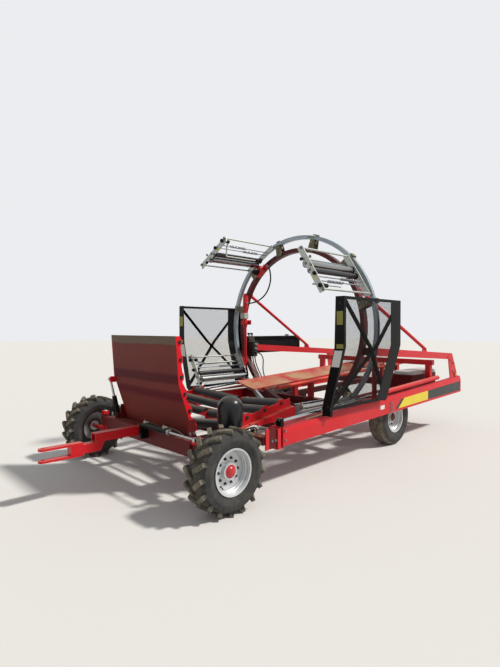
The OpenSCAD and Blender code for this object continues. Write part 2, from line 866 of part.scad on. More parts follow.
module push_frame() {
    arm_y = push_y - push_barrel_r - fit;
    axis_z = beam_top(push_arm_x) + push_rise;
    bar_z0 = deck_front_z + (deck_front_x - push_arm_x) * tan(frame_slope) + 40;
    color(red) {
        translate([push_arm_x - push_arm_w / 2, -arm_y + 12, bar_z0])
            cube([push_arm_w, 2 * arm_y - 24, 80]);
        mirrored() {
            translate([push_arm_x - push_arm_w / 2, arm_y - push_arm_w - 46, axis_z - 10])
                cube([push_arm_w, push_arm_w, bar_z0 - axis_z + 20]);
            translate([push_arm_x - push_arm_w / 2, arm_y - 60, axis_z - 10])
                cube([push_arm_w, 60, 20]);
        }
    }
}

/* Film ring and its four dispensers */
module film_ring() {
    color(galvanised)
        ring_section(ring_r, ring_h, ring_w);
}

rod_in = 28;
dispenser_rod_r = 12;
dispenser_plate_t = 10;

module at_dispensers() {
    for (i = [0 : 3])
        translate([hoop_x, 0, hoop_z])
            rotate([dispenser_angle + 90 * i, 0, 0])
                children();
}

module dispenser_frames() {
    r = ring_r - rod_in;
    color(galvanised)
        at_dispensers() {
            for (a = [0, dispenser_span])
                rotate([a, 0, 0])
                    translate([ring_w / 2 + fit, r, 0])
                        rotate([0, 90, 0])
                            cylinder(r = dispenser_rod_r, h = dispenser_l);
            for (x = [ring_w / 2 + 40, ring_w / 2 + dispenser_l - 20])
                across([
                    [r - 60, -25], [r + 16, -25], [r + 16, 20],
                    [r * cos(dispenser_span) + 20, r * sin(dispenser_span) + 18],
                    [r * cos(dispenser_span) - 60, r * sin(dispenser_span) + 20]
                ], x, x + dispenser_plate_t);
        }
}

stretch_roller_r = 44;
film_roller_r = 34;
dispenser_roller_l = dispenser_l - 20 - 40 - dispenser_plate_t - 2 * fit;

// Places a roller between a dispenser's two plates, from its place on the plate
module between_plates(p) {
    at_dispensers()
        translate([ring_w / 2 + 40 + dispenser_plate_t + fit, p[0], p[1]])
            rotate([0, 90, 0])
                children();
}

module stretch_rollers() {
    color(silver)
        between_plates([1176, 376])
            cylinder(r = stretch_roller_r, h = dispenser_roller_l);
}

module film_rollers() {
    color(black)
        between_plates([1206, 280])
            cylinder(r = film_roller_r, h = dispenser_roller_l);
}

/* Tailgate: folded sheet with a side plate on each edge */
gate_hinge_x = front_x - gate_back;
gate_bottom_x = front_x - 130;
gate_fold_x = front_x + 60;
gate_top_x = front_x + 94;
hinge_lug_t = 20;
gate_roller_back = 38;
gate_roller_count = 6;
gate_roller_z0 = 640;
gate_roller_pitch = 170;
gate_core_r = 10;

// The sheet's front face at a height
function gate_at(z) = z < gate_fold_z
    ? gate_bottom_x + (gate_fold_x - gate_bottom_x) * (z - gate_bottom_z) / (gate_fold_z - gate_bottom_z)
    : gate_fold_x + (gate_top_x - gate_fold_x) * (z - gate_fold_z) / (gate_top_z - gate_fold_z);
function gate_roller_z(i) = gate_roller_z0 + i * gate_roller_pitch;

module at_gate_rollers(y) {
    for (i = [0 : gate_roller_count - 1])
        translate([gate_at(gate_roller_z(i)) - gate_roller_back, y, gate_roller_z(i)])
            rotate([-90, 0, 0])
                children();
}

module tailgate_sheet() {
    heights = [gate_bottom_z, gate_fold_z, gate_top_z];
    color(dark_red)
        side_plate([
            for (z = heights) [gate_at(z), z],
            for (k = [2 : -1 : 0]) [gate_at(heights[k]) - gate_t, heights[k]]
        ], -gate_y, gate_y);
    color(red)
        mirrored()
            difference() {
                union() {
                    // Side plate, with a lobe round each roller's end
                    side_plate([
                        for (z = heights) [gate_at(z), z],
                        [gate_at(gate_top_z) - 50, gate_top_z],
                        for (i = [gate_roller_count - 1 : -1 : 0]) each [
                            [gate_at(gate_roller_z(i)) - 48, gate_roller_z(i) + 50],
                            [gate_at(gate_roller_z(i)) - 66, gate_roller_z(i) + 22],
                            [gate_at(gate_roller_z(i)) - 66, gate_roller_z(i) - 22],
                            [gate_at(gate_roller_z(i)) - 48, gate_roller_z(i) - 50]
                        ],
                        [gate_bottom_x - 40, gate_bottom_z]
                    ], gate_y - 1, gate_y + gate_t);
                    translate([gate_hinge_x, gate_y - 1, gate_hinge_z])
                        rotate([-90, 0, 0])
                            cylinder(r = 26, h = gate_t + 1);
                }
                translate([gate_hinge_x, gate_y - 2, gate_hinge_z])
                    rotate([-90, 0, 0])
                        cylinder(r = gate_pin_r + run_gap, h = gate_t + 4);
                at_gate_rollers(gate_y - 2)
                    cylinder(r = gate_core_r + fit, h = gate_t + 4);
            }
    // Ear and pin for the cylinder, on the right edge
    color(red) {
        translate([gate_at(gate_cyl_eye[2]) - 8, -gate_y - gate_t - 12, gate_cyl_eye[2] - 34])
            cube([gate_cyl_eye[0] - gate_at(gate_cyl_eye[2]) + 32, 13, 68]);
        translate([gate_cyl_eye[0], gate_cyl_y + 15 + fit, gate_cyl_eye[2]])
            rotate([-90, 0, 0])
                cylinder(r = gate_pin_r, h = -gate_y - gate_t - 11 - gate_cyl_y - 15 - fit);
    }
}

module tailgate_rollers() {
    color(black) {
        at_gate_rollers(-gate_y + 4)
            cylinder(r = gate_roller_r, h = 2 * gate_y - 8);
        at_gate_rollers(-gate_y - gate_t)
            cylinder(r = gate_core_r, h = 2 * gate_y + 2 * gate_t);
    }
}

/* Tailgate cylinder beside the right edge, on top of the axle beam */
gate_pin_r = 12;
gate_cyl_r = 27;
gate_cyl_rod_r = 14;
gate_cyl_y = -gate_y - gate_t - fit - hinge_lug_t - 6 - gate_cyl_r;
gate_cyl_base = [front_x - 20, gate_cyl_y, axle_beam_z + axle_beam_h + 40];
gate_cyl_eye = [front_x + 80, gate_cyl_y, 1030];
gate_cyl_l = 230;
gate_cyl_eye_l = norm(gate_cyl_eye - gate_cyl_base);

// Turns its children so that z runs up the cylinder from its base pin
module on_gate_cylinder() {
    translate(gate_cyl_base)
        rotate([0, atan2(gate_cyl_eye[0] - gate_cyl_base[0], gate_cyl_eye[2] - gate_cyl_base[2]), 0])
            children();
}

module gate_cylinder() {
    color(black)
        on_gate_cylinder()
            difference() {
                union() {
                    translate([0, -15, 0])
                        rotate([-90, 0, 0])
                            cylinder(r = 24, h = 30);
                    translate([-16, -15, 0])
                        cube([32, 30, 38]);
                    translate([0, 0, 36])
                        cylinder(r = gate_cyl_r, h = gate_cyl_l - 36);
                }
                translate([0, -20, 0])
                    rotate([-90, 0, 0])
                        cylinder(r = gate_pin_r + run_gap, h = 40);
                translate([0, 0, 60])
                    cylinder(r = gate_cyl_rod_r + fit, h = gate_cyl_l);
            }
}

module gate_cylinder_rod() {
    color(silver)
        on_gate_cylinder() {
            translate([0, 0, 66 + 150])
                cylinder(r = gate_cyl_rod_r, h = gate_cyl_eye_l - 66 - 150);
            translate([0, -15, gate_cyl_eye_l])
                rotate([-90, 0, 0])
                    cylinder(r = 24, h = 30);
        }
}

/* Steering: knuckles, tie rod behind the axle beam and cylinder in front of it */
arm_l = 160;
arm_t = 24;
steer_arm_l = 130;
tie_rod_r = 16;
steer_cyl_r = 28;
steer_rod_r = 13;
steer_arm_z = king_z + king_h + 6;
tie_arm_z = tyre_r - 8;

module knuckle() {
    color(red) {
        translate([front_x, king_y, king_z - 40])
            cylinder(r = king_r, h = king_h + 60);
        translate([front_x - 34, king_y - 34, king_z + king_h + 1])
            cube([68, 68, 36]);
        translate([front_x - 32, king_y - 32, tyre_r - 60])
            cube([64, 80, 119]);
        // Track arm, rearwards
        translate([front_x - arm_l - 20, king_y - 20, tie_arm_z])
            cube([arm_l, 40, arm_t]);
    }
    color(silver)
        translate([front_x, king_y + 46, tyre_r])
            rotate([-90, 0, 0])
                cylinder(r = spindle_r, h = front_wheel_y + 60 - king_y - 46);
}

module left_knuckle() {
    knuckle();
    // Steering arm, forwards
    color(red)
        translate([front_x + 33, king_y - 20, steer_arm_z])
            cube([steer_arm_l - 13, 40, arm_t]);
}

module right_knuckle() {
    mirror([0, 1, 0])
        knuckle();
}

module tie_rod() {
    color(silver)
        translate([front_x - arm_l, -king_y - 16, tie_arm_z + arm_t + tie_rod_r + fit])
            rotate([-90, 0, 0])
                cylinder(r = tie_rod_r, h = 2 * king_y + 32);
}

steer_cyl_z = steer_arm_z + arm_t + steer_rod_r + 3 + fit;
steer_cyl_y0 = 110;
steer_cyl_l = 460;

module steering_cylinder() {
    color(black)
        difference() {
            translate([front_x + steer_arm_l, steer_cyl_y0, steer_cyl_z])
                rotate([-90, 0, 0])
                    cylinder(r = steer_cyl_r, h = steer_cyl_l);
            translate([front_x + steer_arm_l, steer_cyl_y0 + 30, steer_cyl_z])
                rotate([-90, 0, 0])
                    cylinder(r = steer_rod_r + fit, h = steer_cyl_l);
        }
    color(dark_red)
        translate([front_x + axle_beam_w / 2 + fit, steer_cyl_y0 - 40, axle_beam_z + 60])
            cube([steer_arm_l - axle_beam_w / 2 + 20, 40 - fit, steer_cyl_z - axle_beam_z - 50]);
}

module steering_rod() {
    color(silver)
        translate([front_x + steer_arm_l, steer_cyl_y0 + steer_cyl_l - 90, steer_cyl_z])
            rotate([-90, 0, 0])
                cylinder(r = steer_rod_r, h = king_y + 16 - steer_cyl_y0 - steer_cyl_l + 90);
    color(silver)
        translate([front_x + steer_arm_l, king_y, steer_cyl_z - steer_rod_r - 3])
            cylinder(r = 24, h = 2 * steer_rod_r + 6);
}

/* Wheels */
carcass_r = tyre_r - lug_h;

// Half the width of a tyre at its bead, inside the rim's flanges
bead_y = 89;

module carcass(r, w) {
    rotate([-90, 0, 0])
        rotate_extrude($fn = 96)
            polygon([
                [rim_r - 6, -bead_y], [rim_r + 14, -bead_y - 14], [rim_r + 60, -w / 2 + 2],
                [r - 70, -w / 2], [r - 26, -w / 2 + 12], [r - 4, -w / 2 + 44], [r, 0],
                [r - 4, w / 2 - 44], [r - 26, w / 2 - 12], [r - 70, w / 2],
                [rim_r + 60, w / 2 - 2], [rim_r + 14, bead_y + 14], [rim_r - 6, bead_y]
            ]);
}

module lug_tyre() {
    color(black) {
        carcass(carcass_r, tyre_w);
        intersection() {
            rotate([-90, 0, 0])
                translate([0, 0, -tyre_w / 2])
                    cylinder(r = tyre_r, h = tyre_w, $fn = 96);
            for (i = [0 : lug_count - 1])
                for (s = [-1, 1])
                    rotate([0, 90 - (i + (s > 0 ? 0 : 0.5)) * 360 / lug_count, 0])
                        translate([carcass_r - 30, s * 66, 0])
                            rotate([s * 38, 0, 0])
                                translate([0, -72, -19])
                                    cube([lug_h + 40, 134, 38]);
        }
    }
}

module rib_tyre() {
    color(black)
        carcass(tyre_r, tyre_w - 6);
}

hub_r = 62;

module rim(s) {
    color(silver)
        rotate([-90, 0, 0])
            difference() {
                rotate_extrude($fn = 96)
                    polygon([
                        [spindle_r + run_gap, s * 30], [hub_r, s * 30], [hub_r, s * 10], [170, s * 16],
                        [rim_r - 16, -s * 10], [rim_r - 16, -s * 104], [rim_r, -s * 106],
                        [rim_r, -s * 100], [rim_r - 7, -s * 90], [rim_r - 7, s * 90],
                        [rim_r, s * 100], [rim_r, s * 106], [rim_r - 16, s * 104],
                        [rim_r - 16, s * 2], [168, s * 27], [hub_r + 12, s * 22], [hub_r + 12, s * 60],
                        [spindle_r + run_gap, s * 60]
                    ]);
            }
}

module front_left_tyre() {
    translate([front_x, front_wheel_y, tyre_r])
        lug_tyre();
}

module front_left_rim() {
    translate([front_x, front_wheel_y, tyre_r])
        rim(1);
}

module front_right_tyre() {
    translate([front_x, -front_wheel_y, tyre_r])
        lug_tyre();
}

module front_right_rim() {
    translate([front_x, -front_wheel_y, tyre_r])
        rim(-1);
}

module rear_left_tyre() {
    translate([rear_axle_x, rear_wheel_y, tyre_r])
        rib_tyre();
}

module rear_left_rim() {
    translate([rear_axle_x, rear_wheel_y, tyre_r])
        rim(1);
}

module rear_right_tyre() {
    translate([rear_axle_x, -rear_wheel_y, tyre_r])
        rib_tyre();
}

module rear_right_rim() {
    translate([rear_axle_x, -rear_wheel_y, tyre_r])
        rim(-1);
}

side_beams();
cross_members();
front_axle_beam();
drawbar();
table_side_plates();
table_spine();
table_rollers();
guide_drums();
hoop();
hoop_guide_rollers();
hoop_stays();
side_rails();
loading_deck();
side_guards();
guard_nets();
ring_drive();
film_cutter();
oil_tank();
valve_block();
bay_cover();
rear_axle();
push_rods();
film_ring();
dispenser_frames();
stretch_rollers();
film_rollers();
tailgate_sheet();
tailgate_rollers();
gate_cylinder();
gate_cylinder_rod();
push_frame();
push_barrels();
left_knuckle();
right_knuckle();
tie_rod();
steering_cylinder();
steering_rod();
front_left_tyre();
front_left_rim();
front_right_tyre();
front_right_rim();
rear_left_tyre();
rear_left_rim();
rear_right_tyre();
rear_right_rim();
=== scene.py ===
# Towed inline bale wrapper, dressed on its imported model. Metres, +X the drawbar end, +Y the left side, +Z up.
from math import cos, pi, radians, sin
import bmesh
import bpy
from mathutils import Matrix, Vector


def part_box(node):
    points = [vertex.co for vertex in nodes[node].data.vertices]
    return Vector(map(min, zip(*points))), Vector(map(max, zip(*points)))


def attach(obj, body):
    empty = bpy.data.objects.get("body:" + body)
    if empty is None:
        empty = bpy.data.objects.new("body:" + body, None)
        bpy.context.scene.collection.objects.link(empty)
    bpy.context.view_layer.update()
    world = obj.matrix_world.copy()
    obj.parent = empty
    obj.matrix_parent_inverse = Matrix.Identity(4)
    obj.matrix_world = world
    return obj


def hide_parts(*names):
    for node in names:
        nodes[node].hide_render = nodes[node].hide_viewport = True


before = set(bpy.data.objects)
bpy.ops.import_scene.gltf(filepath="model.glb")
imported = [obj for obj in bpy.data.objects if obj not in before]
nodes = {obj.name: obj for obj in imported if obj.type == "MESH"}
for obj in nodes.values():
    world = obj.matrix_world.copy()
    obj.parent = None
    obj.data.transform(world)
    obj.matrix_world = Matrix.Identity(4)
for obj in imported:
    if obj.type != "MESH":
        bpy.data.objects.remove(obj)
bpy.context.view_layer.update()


# Camera, floor and light
# The eye stands at the front left, at about head height. The floor is matt pale board, the sky an even white
# tent, and one broad lamp comes from the picture's right, as the sun does.
def linear(colour):
    """An sRGB hex colour as the linear numbers that a shader takes."""
    parts = [int(colour[i : i + 2], 16) / 255 for i in (1, 3, 5)]
    return tuple(p / 12.92 if p <= 0.04045 else ((p + 0.055) / 1.055) ** 2.4 for p in parts) + (1.0,)


def add_node(tree, kind, sockets=None, **properties):
    """One node: its own properties, then for each socket a number, a colour or a (node, output) link."""
    node = tree.nodes.new(kind)
    for name, value in properties.items():
        setattr(node, name, value)
    for key, value in (sockets or {}).items():
        if isinstance(value, tuple) and isinstance(value[0], bpy.types.Node):
            tree.links.new(value[0].outputs[value[1]], node.inputs[key])
        else:
            node.inputs[key].default_value = value
    return node


def maths(tree, operation, *terms, clamp=False):
    """The result of a Math node."""
    return add_node(tree, "ShaderNodeMath", dict(enumerate(terms)), operation=operation, use_clamp=clamp), 0


def ramp(tree, value, start=0.0, end=1.0, first=0.0, last=1.0):
    """A value that runs from first to last while the given one runs from start to end."""
    sockets = {"Value": value, "From Min": start, "From Max": end, "To Min": first, "To Max": last}
    return add_node(tree, "ShaderNodeMapRange", sockets), 0


def show(data, name):
    """A new object in the scene."""
    made = bpy.data.objects.new(name, data)
    scene.collection.objects.link(made)
    return made


scene = bpy.context.scene
eye = bpy.data.cameras.new("eye")
eye.sensor_fit = "HORIZONTAL"
eye.sensor_width = 36.0
eye.lens = 32.62
eye.clip_end = 200.0
scene.camera = show(eye, "eye")
scene.camera.location = (4.678, 4.29, 1.617)
scene.camera.rotation_euler = Vector((-0.6943, -0.7197, -0.0094)).to_track_quat("-Z", "Y").to_euler()

lamp = bpy.data.lights.new("key_lamp", "SUN")
lamp.energy = 3.3
lamp.angle = radians(5)
lamp.color = (1.0, 0.97, 0.92)
show(lamp, "key_lamp").rotation_euler = Vector((0.5, -0.52, -0.8)).to_track_quat("-Z", "Y").to_euler()

scene.world = bpy.data.worlds.new("white_tent")
scene.world.use_nodes = True
tent = scene.world.node_tree
tent.nodes.clear()
path = add_node(tent, "ShaderNodeLightPath")
seen = maths(tent, "MAXIMUM", (path, "Is Camera Ray"), (path, "Is Glossy Ray"))
power = ramp(tent, seen, first=0.42, last=0.92)
shell = add_node(tent, "ShaderNodeBackground", {"Color": linear("#f4f6f9"), "Strength": power})
add_node(tent, "ShaderNodeOutputWorld", {"Surface": (shell, 0)})
scene.view_settings.view_transform = "Standard"

floor_mesh = bpy.data.meshes.new("floor")
floor_mesh.from_pydata([(-60, -60, 0), (60, -60, 0), (60, 60, 0), (-60, 60, 0)], [], [(0, 1, 2, 3)])
board = bpy.data.materials.new("matt_pale_board")
board.use_nodes = True
board.node_tree.nodes["Principled BSDF"].inputs["Base Color"].default_value = linear("#dcdad6")
board.node_tree.nodes["Principled BSDF"].inputs["Roughness"].default_value = 0.95
floor_mesh.materials.append(board)
show(floor_mesh, "floor")


def new_finish(name):
    """An empty material for one of the frame's slots, with its tree and its Object coordinates."""
    made = bpy.data.materials.new(name)
    made.use_nodes = True
    made.node_tree.nodes.clear()
    return made, made.node_tree, (add_node(made.node_tree, "ShaderNodeTexCoord"), "Object")


def noise(tree, at, scale, detail, rough=0.5):
    """Cloudy noise from 0 to 1."""
    sockets = {"Vector": at, "Scale": scale, "Detail": detail, "Roughness": rough}
    return add_node(tree, "ShaderNodeTexNoise", sockets), 0


def along(tree, vector, axis):
    """One axis of a vector."""
    return add_node(tree, "ShaderNodeSeparateXYZ", {0: vector}), axis


def mixed(tree, share, under, over):
    """One colour over another, by a share."""
    return add_node(tree, "ShaderNodeMix", {0: share, 6: under, 7: over}, data_type="RGBA"), 2


def surface(tree, height, strength, depth, sockets):
    """Closes a finish: its relief, its shader and its output."""
    relief = add_node(tree, "ShaderNodeBump", {"Height": height, "Strength": strength, "Distance": depth})
    shader = add_node(tree, "ShaderNodeBsdfPrincipled", {"Normal": (relief, 0), **sockets})
    add_node(tree, "ShaderNodeOutputMaterial", {"Surface": (shader, 0)})


def coated(
    name, colour, faded, rough, metal=0.0, dust=0.35, chips=0.0, chip="#6b4a3e", coat=0.0, low=0.0,
    gloss=0.5, even=0.45, soil_and_sheen="#a8977a",
):
    """A coat on steel: cloudy fading 0.4 m across, 20 mm mottling, dust on what faces up (on the red beams a
    painted reflection in its place), and small worn spots.
    """
    made, tree, at = new_finish(name)
    cloud = noise(tree, at, 2.5, 4.0, 0.6)
    speck = noise(tree, at, 50.0, 3.0, 0.65)
    body = mixed(tree, ramp(tree, cloud, 0.35, 0.7), linear(colour), linear(faded))
    edge = 0.74 - 0.12 * chips
    spots = ramp(tree, speck, edge, edge + 0.04, last=min(1.0, chips * 1.4))
    worn = mixed(tree, spots, body, linear(chip))
    facing = add_node(tree, "ShaderNodeNewGeometry"), "Normal"
    lying = maths(tree, "MULTIPLY", ramp(tree, along(tree, facing, "Z"), 0.35, 0.95), dust)
    splashed = ramp(tree, along(tree, at, "Z"), 0.75, 0.2, last=low)
    drift = ramp(tree, cloud, 0.3, 0.65, even, 1.1)
    film = maths(tree, "MULTIPLY", maths(tree, "ADD", lying, splashed), drift, clamp=True)
    dull = ramp(tree, speck, first=rough - 0.08, last=rough + 0.1)
    surface(tree, speck, 0.12, 0.002, {
        "Base Color": mixed(tree, film, worn, linear(soil_and_sheen)),
        "Roughness": maths(tree, "MULTIPLY_ADD", film, 0.35, dull, clamp=True),
        "Metallic": metal,
        "Coat Weight": coat,
        "Coat Roughness": 0.15,
        "Specular IOR Level": gloss,
    })
    return made


def zone(finish, axis, start, end, colour):
    """Lays a colour over a finish where the distance from the part's middle plane passes from start to end."""
    tree = finish.node_tree
    paint = tree.nodes["Principled BSDF"].inputs["Base Color"]
    under = (paint.links[0].from_node, 2)
    at = add_node(tree, "ShaderNodeTexCoord"), "Object"
    share = ramp(tree, maths(tree, "ABSOLUTE", along(tree, at, axis)), start, end)
    tree.links.new(mixed(tree, share, under, linear(colour))[0].outputs[2], paint)
    return finish


def dress(finish, *names):
    """Gives CAD nodes their finish, on every slot."""
    for name in names:
        slots = nodes[name].data.materials
        for i in range(len(slots)):
            slots[i] = finish


def settle(name, mesh, finish, body):
    """A mesh as a finished piece: at the origin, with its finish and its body."""
    mesh.materials.clear()
    mesh.materials.append(finish)
    piece = show(mesh, name)
    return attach(piece, body)


def bridge(bm, low, top):
    """Faces between two rings of points, or between a ring and a single point."""
    count = max(len(low), len(top))
    for i in range(count):
        j = (i + 1) % count
        corners = [ring[k % len(ring)] for ring, k in ((low, i), (low, j), (top, j), (top, i))]
        bm.faces.new(list(dict.fromkeys(corners)))


def made_mesh(name, bm, sharp=None):
    """The bmesh as a mesh: flat, or smooth up to an angle between faces in degrees."""
    mesh = bpy.data.meshes.new(name)
    bm.to_mesh(mesh)
    bm.free()
    if sharp:
        mesh.shade_smooth()
        mesh.set_sharp_from_angle(angle=radians(sharp))
    return mesh


def slabs(name, outlines, thick, finish, body="root"):
    """Flat plates: each outline is a ring of points on the plate's seat, and the plate rises by its thickness."""
    bm = bmesh.new()
    for outline in outlines:
        points = [Vector(p) for p in outline]
        turns = [(a - points[0]).cross(b - points[0]) for a, b in zip(points[1:], points[2:])]
        rise = sum(turns, Vector()).normalized() * thick
        low = [bm.verts.new(p) for p in points]
        top = [bm.verts.new(p + rise) for p in points]
        bm.faces.new(low[::-1])
        bm.faces.new(top)
        bridge(bm, low, top)
    return settle(name, made_mesh(name, bm), finish, body)


def open_tree(name, taken, sizes, given_back):
    """A node tree that takes geometry, sizes with their usual values and a finish, and gives geometry back."""
    tree = bpy.data.node_groups.new(name, "GeometryNodeTree")
    tree.interface.new_socket(taken, in_out="INPUT", socket_type="NodeSocketGeometry")
    for label, value in sizes.items():
        kind = "NodeSocketInt" if isinstance(value, int) else "NodeSocketFloat"
        tree.interface.new_socket(label, in_out="INPUT", socket_type=kind).default_value = value
    tree.interface.new_socket("Finish", in_out="INPUT", socket_type="NodeSocketMaterial")
    tree.interface.new_socket(given_back, in_out="OUTPUT", socket_type="NodeSocketGeometry")
    return tree, add_node(tree, "NodeGroupInput")


def copies(tree, points, piece, **turned):
    """A copy of a piece on each point."""
    return add_node(tree, "GeometryNodeInstanceOnPoints", {"Points": points, "Instance": piece, **turned}), 0


def joined(tree, *parts):
    """Several geometries as one."""
    both = add_node(tree, "GeometryNodeJoinGeometry")
    for node, output in parts:
        tree.links.new(node.outputs[output], both.inputs[0])
    return both, 0


def close_tree(tree, given, result):
    """Ends a tree in plain geometry with the finish on it."""
    real = add_node(tree, "GeometryNodeRealizeInstances", {0: result})
    dressed = add_node(tree, "GeometryNodeSetMaterial", {0: (real, 0), "Material": (given, "Finish")})
    add_node(tree, "NodeGroupOutput", {0: (dressed, 0)})
    return tree


def fastener_tree():
    """Hexagon heads on washers at the carrier's points, each turned to the point's facing attribute."""
    sizes = {"Head radius": 0.012, "Head height": 0.009, "Washer radius": 0.016}
    tree, given = open_tree("hex_fasteners", "Points", sizes, "Fasteners")
    height = given, "Head height"
    flat = {"Vertices": 14, "Radius": (given, "Washer radius"), "Depth": 0.005}
    hexagon = {"Vertices": 6, "Radius": (given, "Head radius"), "Depth": height}
    washer, head = (add_node(tree, "GeometryNodeMeshCylinder", sizes) for sizes in (flat, hexagon))
    rise = maths(tree, "MULTIPLY_ADD", height, 0.5, 0.0025)
    up = add_node(tree, "ShaderNodeCombineXYZ", {"Z": rise})
    lifted = add_node(tree, "GeometryNodeTransform", {"Geometry": (head, "Mesh"), "Translation": (up, 0)})
    fastener = joined(tree, (washer, "Mesh"), (lifted, 0))
    facing = add_node(tree, "GeometryNodeInputNamedAttribute", {"Name": "facing"}, data_type="FLOAT_VECTOR")
    turned = add_node(tree, "FunctionNodeAlignRotationToVector", {"Vector": (facing, 0)}, axis="Z")
    return close_tree(tree, given, copies(tree, (given, "Points"), fastener, Rotation=(turned, 0)))


def plain_mesh(holder, name):
    """The evaluated object as a plain mesh. The object itself goes."""
    mesh = bpy.data.meshes.new_from_object(holder.evaluated_get(bpy.context.evaluated_depsgraph_get()))
    bpy.data.objects.remove(holder)
    mesh.name = name
    return mesh


def grow(name, tree, carrier, finish, body="root", **sizes):
    """Runs a node tree on a carrier mesh and keeps the result as a finished piece."""
    holder = show(carrier, "holder")
    modifier = holder.modifiers.new("grown", "NODES")
    modifier.node_group = tree
    given = {"finish": finish, **sizes}
    for socket in tree.interface.items_tree:
        key = socket.name.lower().replace(" ", "_")
        if socket.in_out == "INPUT" and key in given:
            modifier[socket.identifier] = given[key]
    return settle(name, plain_mesh(holder, name), finish, body)


hex_fasteners = fastener_tree()
zinc_bolt = coated(
    "zinc_plated_bolt", "#8d9091", "#75736c", 0.4, metal=0.8, dust=0.3, chips=0.4, chip="#5a4030",
)


def bolts(name, places, radius=0.011, height=0.008, finish=zinc_bolt, body="root"):
    """Hexagon bolts: places holds (point on the surface, the way its head looks)."""
    carrier = bpy.data.meshes.new("bolt_places")
    carrier.from_pydata([p for p, _ in places], [], [])
    facing = carrier.attributes.new("facing", "FLOAT_VECTOR", "POINT")
    for i, (_, way) in enumerate(places):
        facing.data[i].vector = Vector(way).normalized()
    return grow(
        name, hex_fasteners, carrier, finish, body,
        head_radius=radius, head_height=height, washer_radius=radius * 1.35,
    )


red_coat = coated(
    "red_powder_coated_steel", "#c80f1a", "#cb2029", 0.38, dust=0.25, chips=0.2, gloss=0.35,
)
# On the beams what faces up turns a darker crimson in place of dust: a painted reflection of the sky on the upward
# chamfer, set by this dust amount and soil colour.
beam_paint = coated(
    "red_beam_paint", "#c80f1a", "#cb2029", 0.38, dust=0.75, chips=0.2, gloss=0.35, soil_and_sheen="#8f2f36",
)
dress(beam_paint, "side_beams")

BEAM_Y, BEAM_FRONT_X, REAR_X = 1.25, 1.27, -3.215


def beam_face(x, share):
    """A point on the left beam's outer face, at a share of the beam's height."""
    back = (BEAM_FRONT_X - x) / (BEAM_FRONT_X - REAR_X)
    return Vector((x, BEAM_Y, 0.44 + 0.125 * back + share * (0.175 + 0.09 * back)))


def both_sides(points):
    """The same points on the left and, mirrored and turned round, on the right."""
    return [list(points), [(p[0], -p[1], p[2]) for p in reversed(points)]]


def outward(y, places):
    """Places (x, z) for bolts on both sides of the machine, at a distance from its middle plane."""
    return [((x, s * y, z), (0, s, 0)) for s in (1, -1) for x, z in places]


def on_beams(*outline):
    """An outline on both beams' outer faces, from (x, share of the height)."""
    return both_sides([beam_face(x, share) for x, share in reversed(outline)])


yellow_vinyl = coated("yellow_sign_vinyl", "#e6cf1e", "#d8c23a", 0.4, dust=0.1)
grey_vinyl = coated("dark_grey_sign_vinyl", "#191b1d", "#222426", 0.4, dust=0.1)
white_vinyl = coated("white_sign_vinyl", "#d9dad8", "#c6c4bc", 0.45, dust=0.1)
stripe = on_beams((-1.975, 0.14), (-1.061, 0.14), (-1.229, 0.68), (-1.975, 0.68))
slabs("beam_yellow_stripes", stripe, 0.0015, yellow_vinyl)
wedge = on_beams((-1.068, 0.14), (-0.99, 0.14), (-1.165, 0.68), (-1.236, 0.68))
band = on_beams((-3.18, 0.1), (-1.982, 0.14), (-1.982, 0.68), (-3.19, 0.68))
slabs("beam_dark_stripes", wedge + band, 0.0015, grey_vinyl)
patch = on_beams((-0.702, 0.38), (-0.6, 0.38), (-0.6, 0.62), (-0.702, 0.62))
slabs("beam_blank_plates", patch, 0.002, white_vinyl)
# On the beam's front end and the guard's foot, and on the plate behind the post
face_bolts = [(1.25, 0.591), (1.25, 0.495)]
face_bolts += [(x, beam_face(x, share).z) for x in (-0.86, -0.9) for share in (0.16, 0.36, 0.58)]
plate_bolts = [(x, z) for x in (1.305, 1.345) for z in (0.47, 0.53)]
bolts("beam_bolts", outward(BEAM_Y + 0.0005, face_bolts) + outward(1.2045, plate_bolts))


# Hydraulic hoses
# Black rubber hoses with plated crimped ends join the valve block, the cylinders and the ring's motor, and
# hang in curves between their ends.
hose_rubber = coated("black_hose_rubber", "#121314", "#1a1b1c", 0.5, dust=0.3, gloss=0.3)
plating = coated("plated_hose_fitting", "#9c9d98", "#8a8778", 0.35, metal=0.85, dust=0.2)


def through(points, steps=7):
    """A smooth route through a few points."""
    ends = [2 * points[0] - points[1], *points, 2 * points[-1] - points[-2]]
    route = []
    for a, b, c, d in zip(ends, ends[1:], ends[2:], ends[3:]):
        for i in range(steps):
            t = i / steps
            square, cube = 2 * a - 5 * b + 4 * c - d, 3 * b - a - 3 * c + d
            route.append(0.5 * (2 * b + (c - a) * t + square * t**2 + cube * t**3))
    return route + [points[-1]]


def lathe(name, profile, centre, way, finish, steps=32, body="root"):
    """A turned piece: profile holds (radius, distance along the axis) in mm. Off the axis, it closes to a ring."""
    turn = Vector((0, 0, 1)).rotation_difference(Vector(way)).to_matrix()
    bm = bmesh.new()
    rings = []
    for radius, along in profile:
        r, z = radius / 1000, along / 1000
        angles = [2 * pi * i / steps for i in range(steps if r > 0 else 1)]
        rings.append([
            bm.verts.new(Vector(centre) + turn @ Vector((r * cos(a), r * sin(a), z))) for a in angles
        ])
    if profile[0][0]:
        rings.append(rings[0])
    for low, top in zip(rings, rings[1:]):
        bridge(bm, low, top)
    bmesh.ops.recalc_face_normals(bm, faces=bm.faces)
    return settle(name, made_mesh(name, bm, 32), finish, body)


def drawn(name, route, radius, roundness):
    """A round bar along a route, as a curve with closed ends."""
    curve = bpy.data.curves.new(name, "CURVE")
    curve.dimensions = "3D"
    curve.bevel_depth = radius
    curve.bevel_resolution = roundness
    curve.use_fill_caps = True
    line = curve.splines.new("POLY")
    line.points.add(len(route) - 1)
    for point, place in zip(line.points, route):
        point.co = (*place, 1.0)
    return show(curve, name)


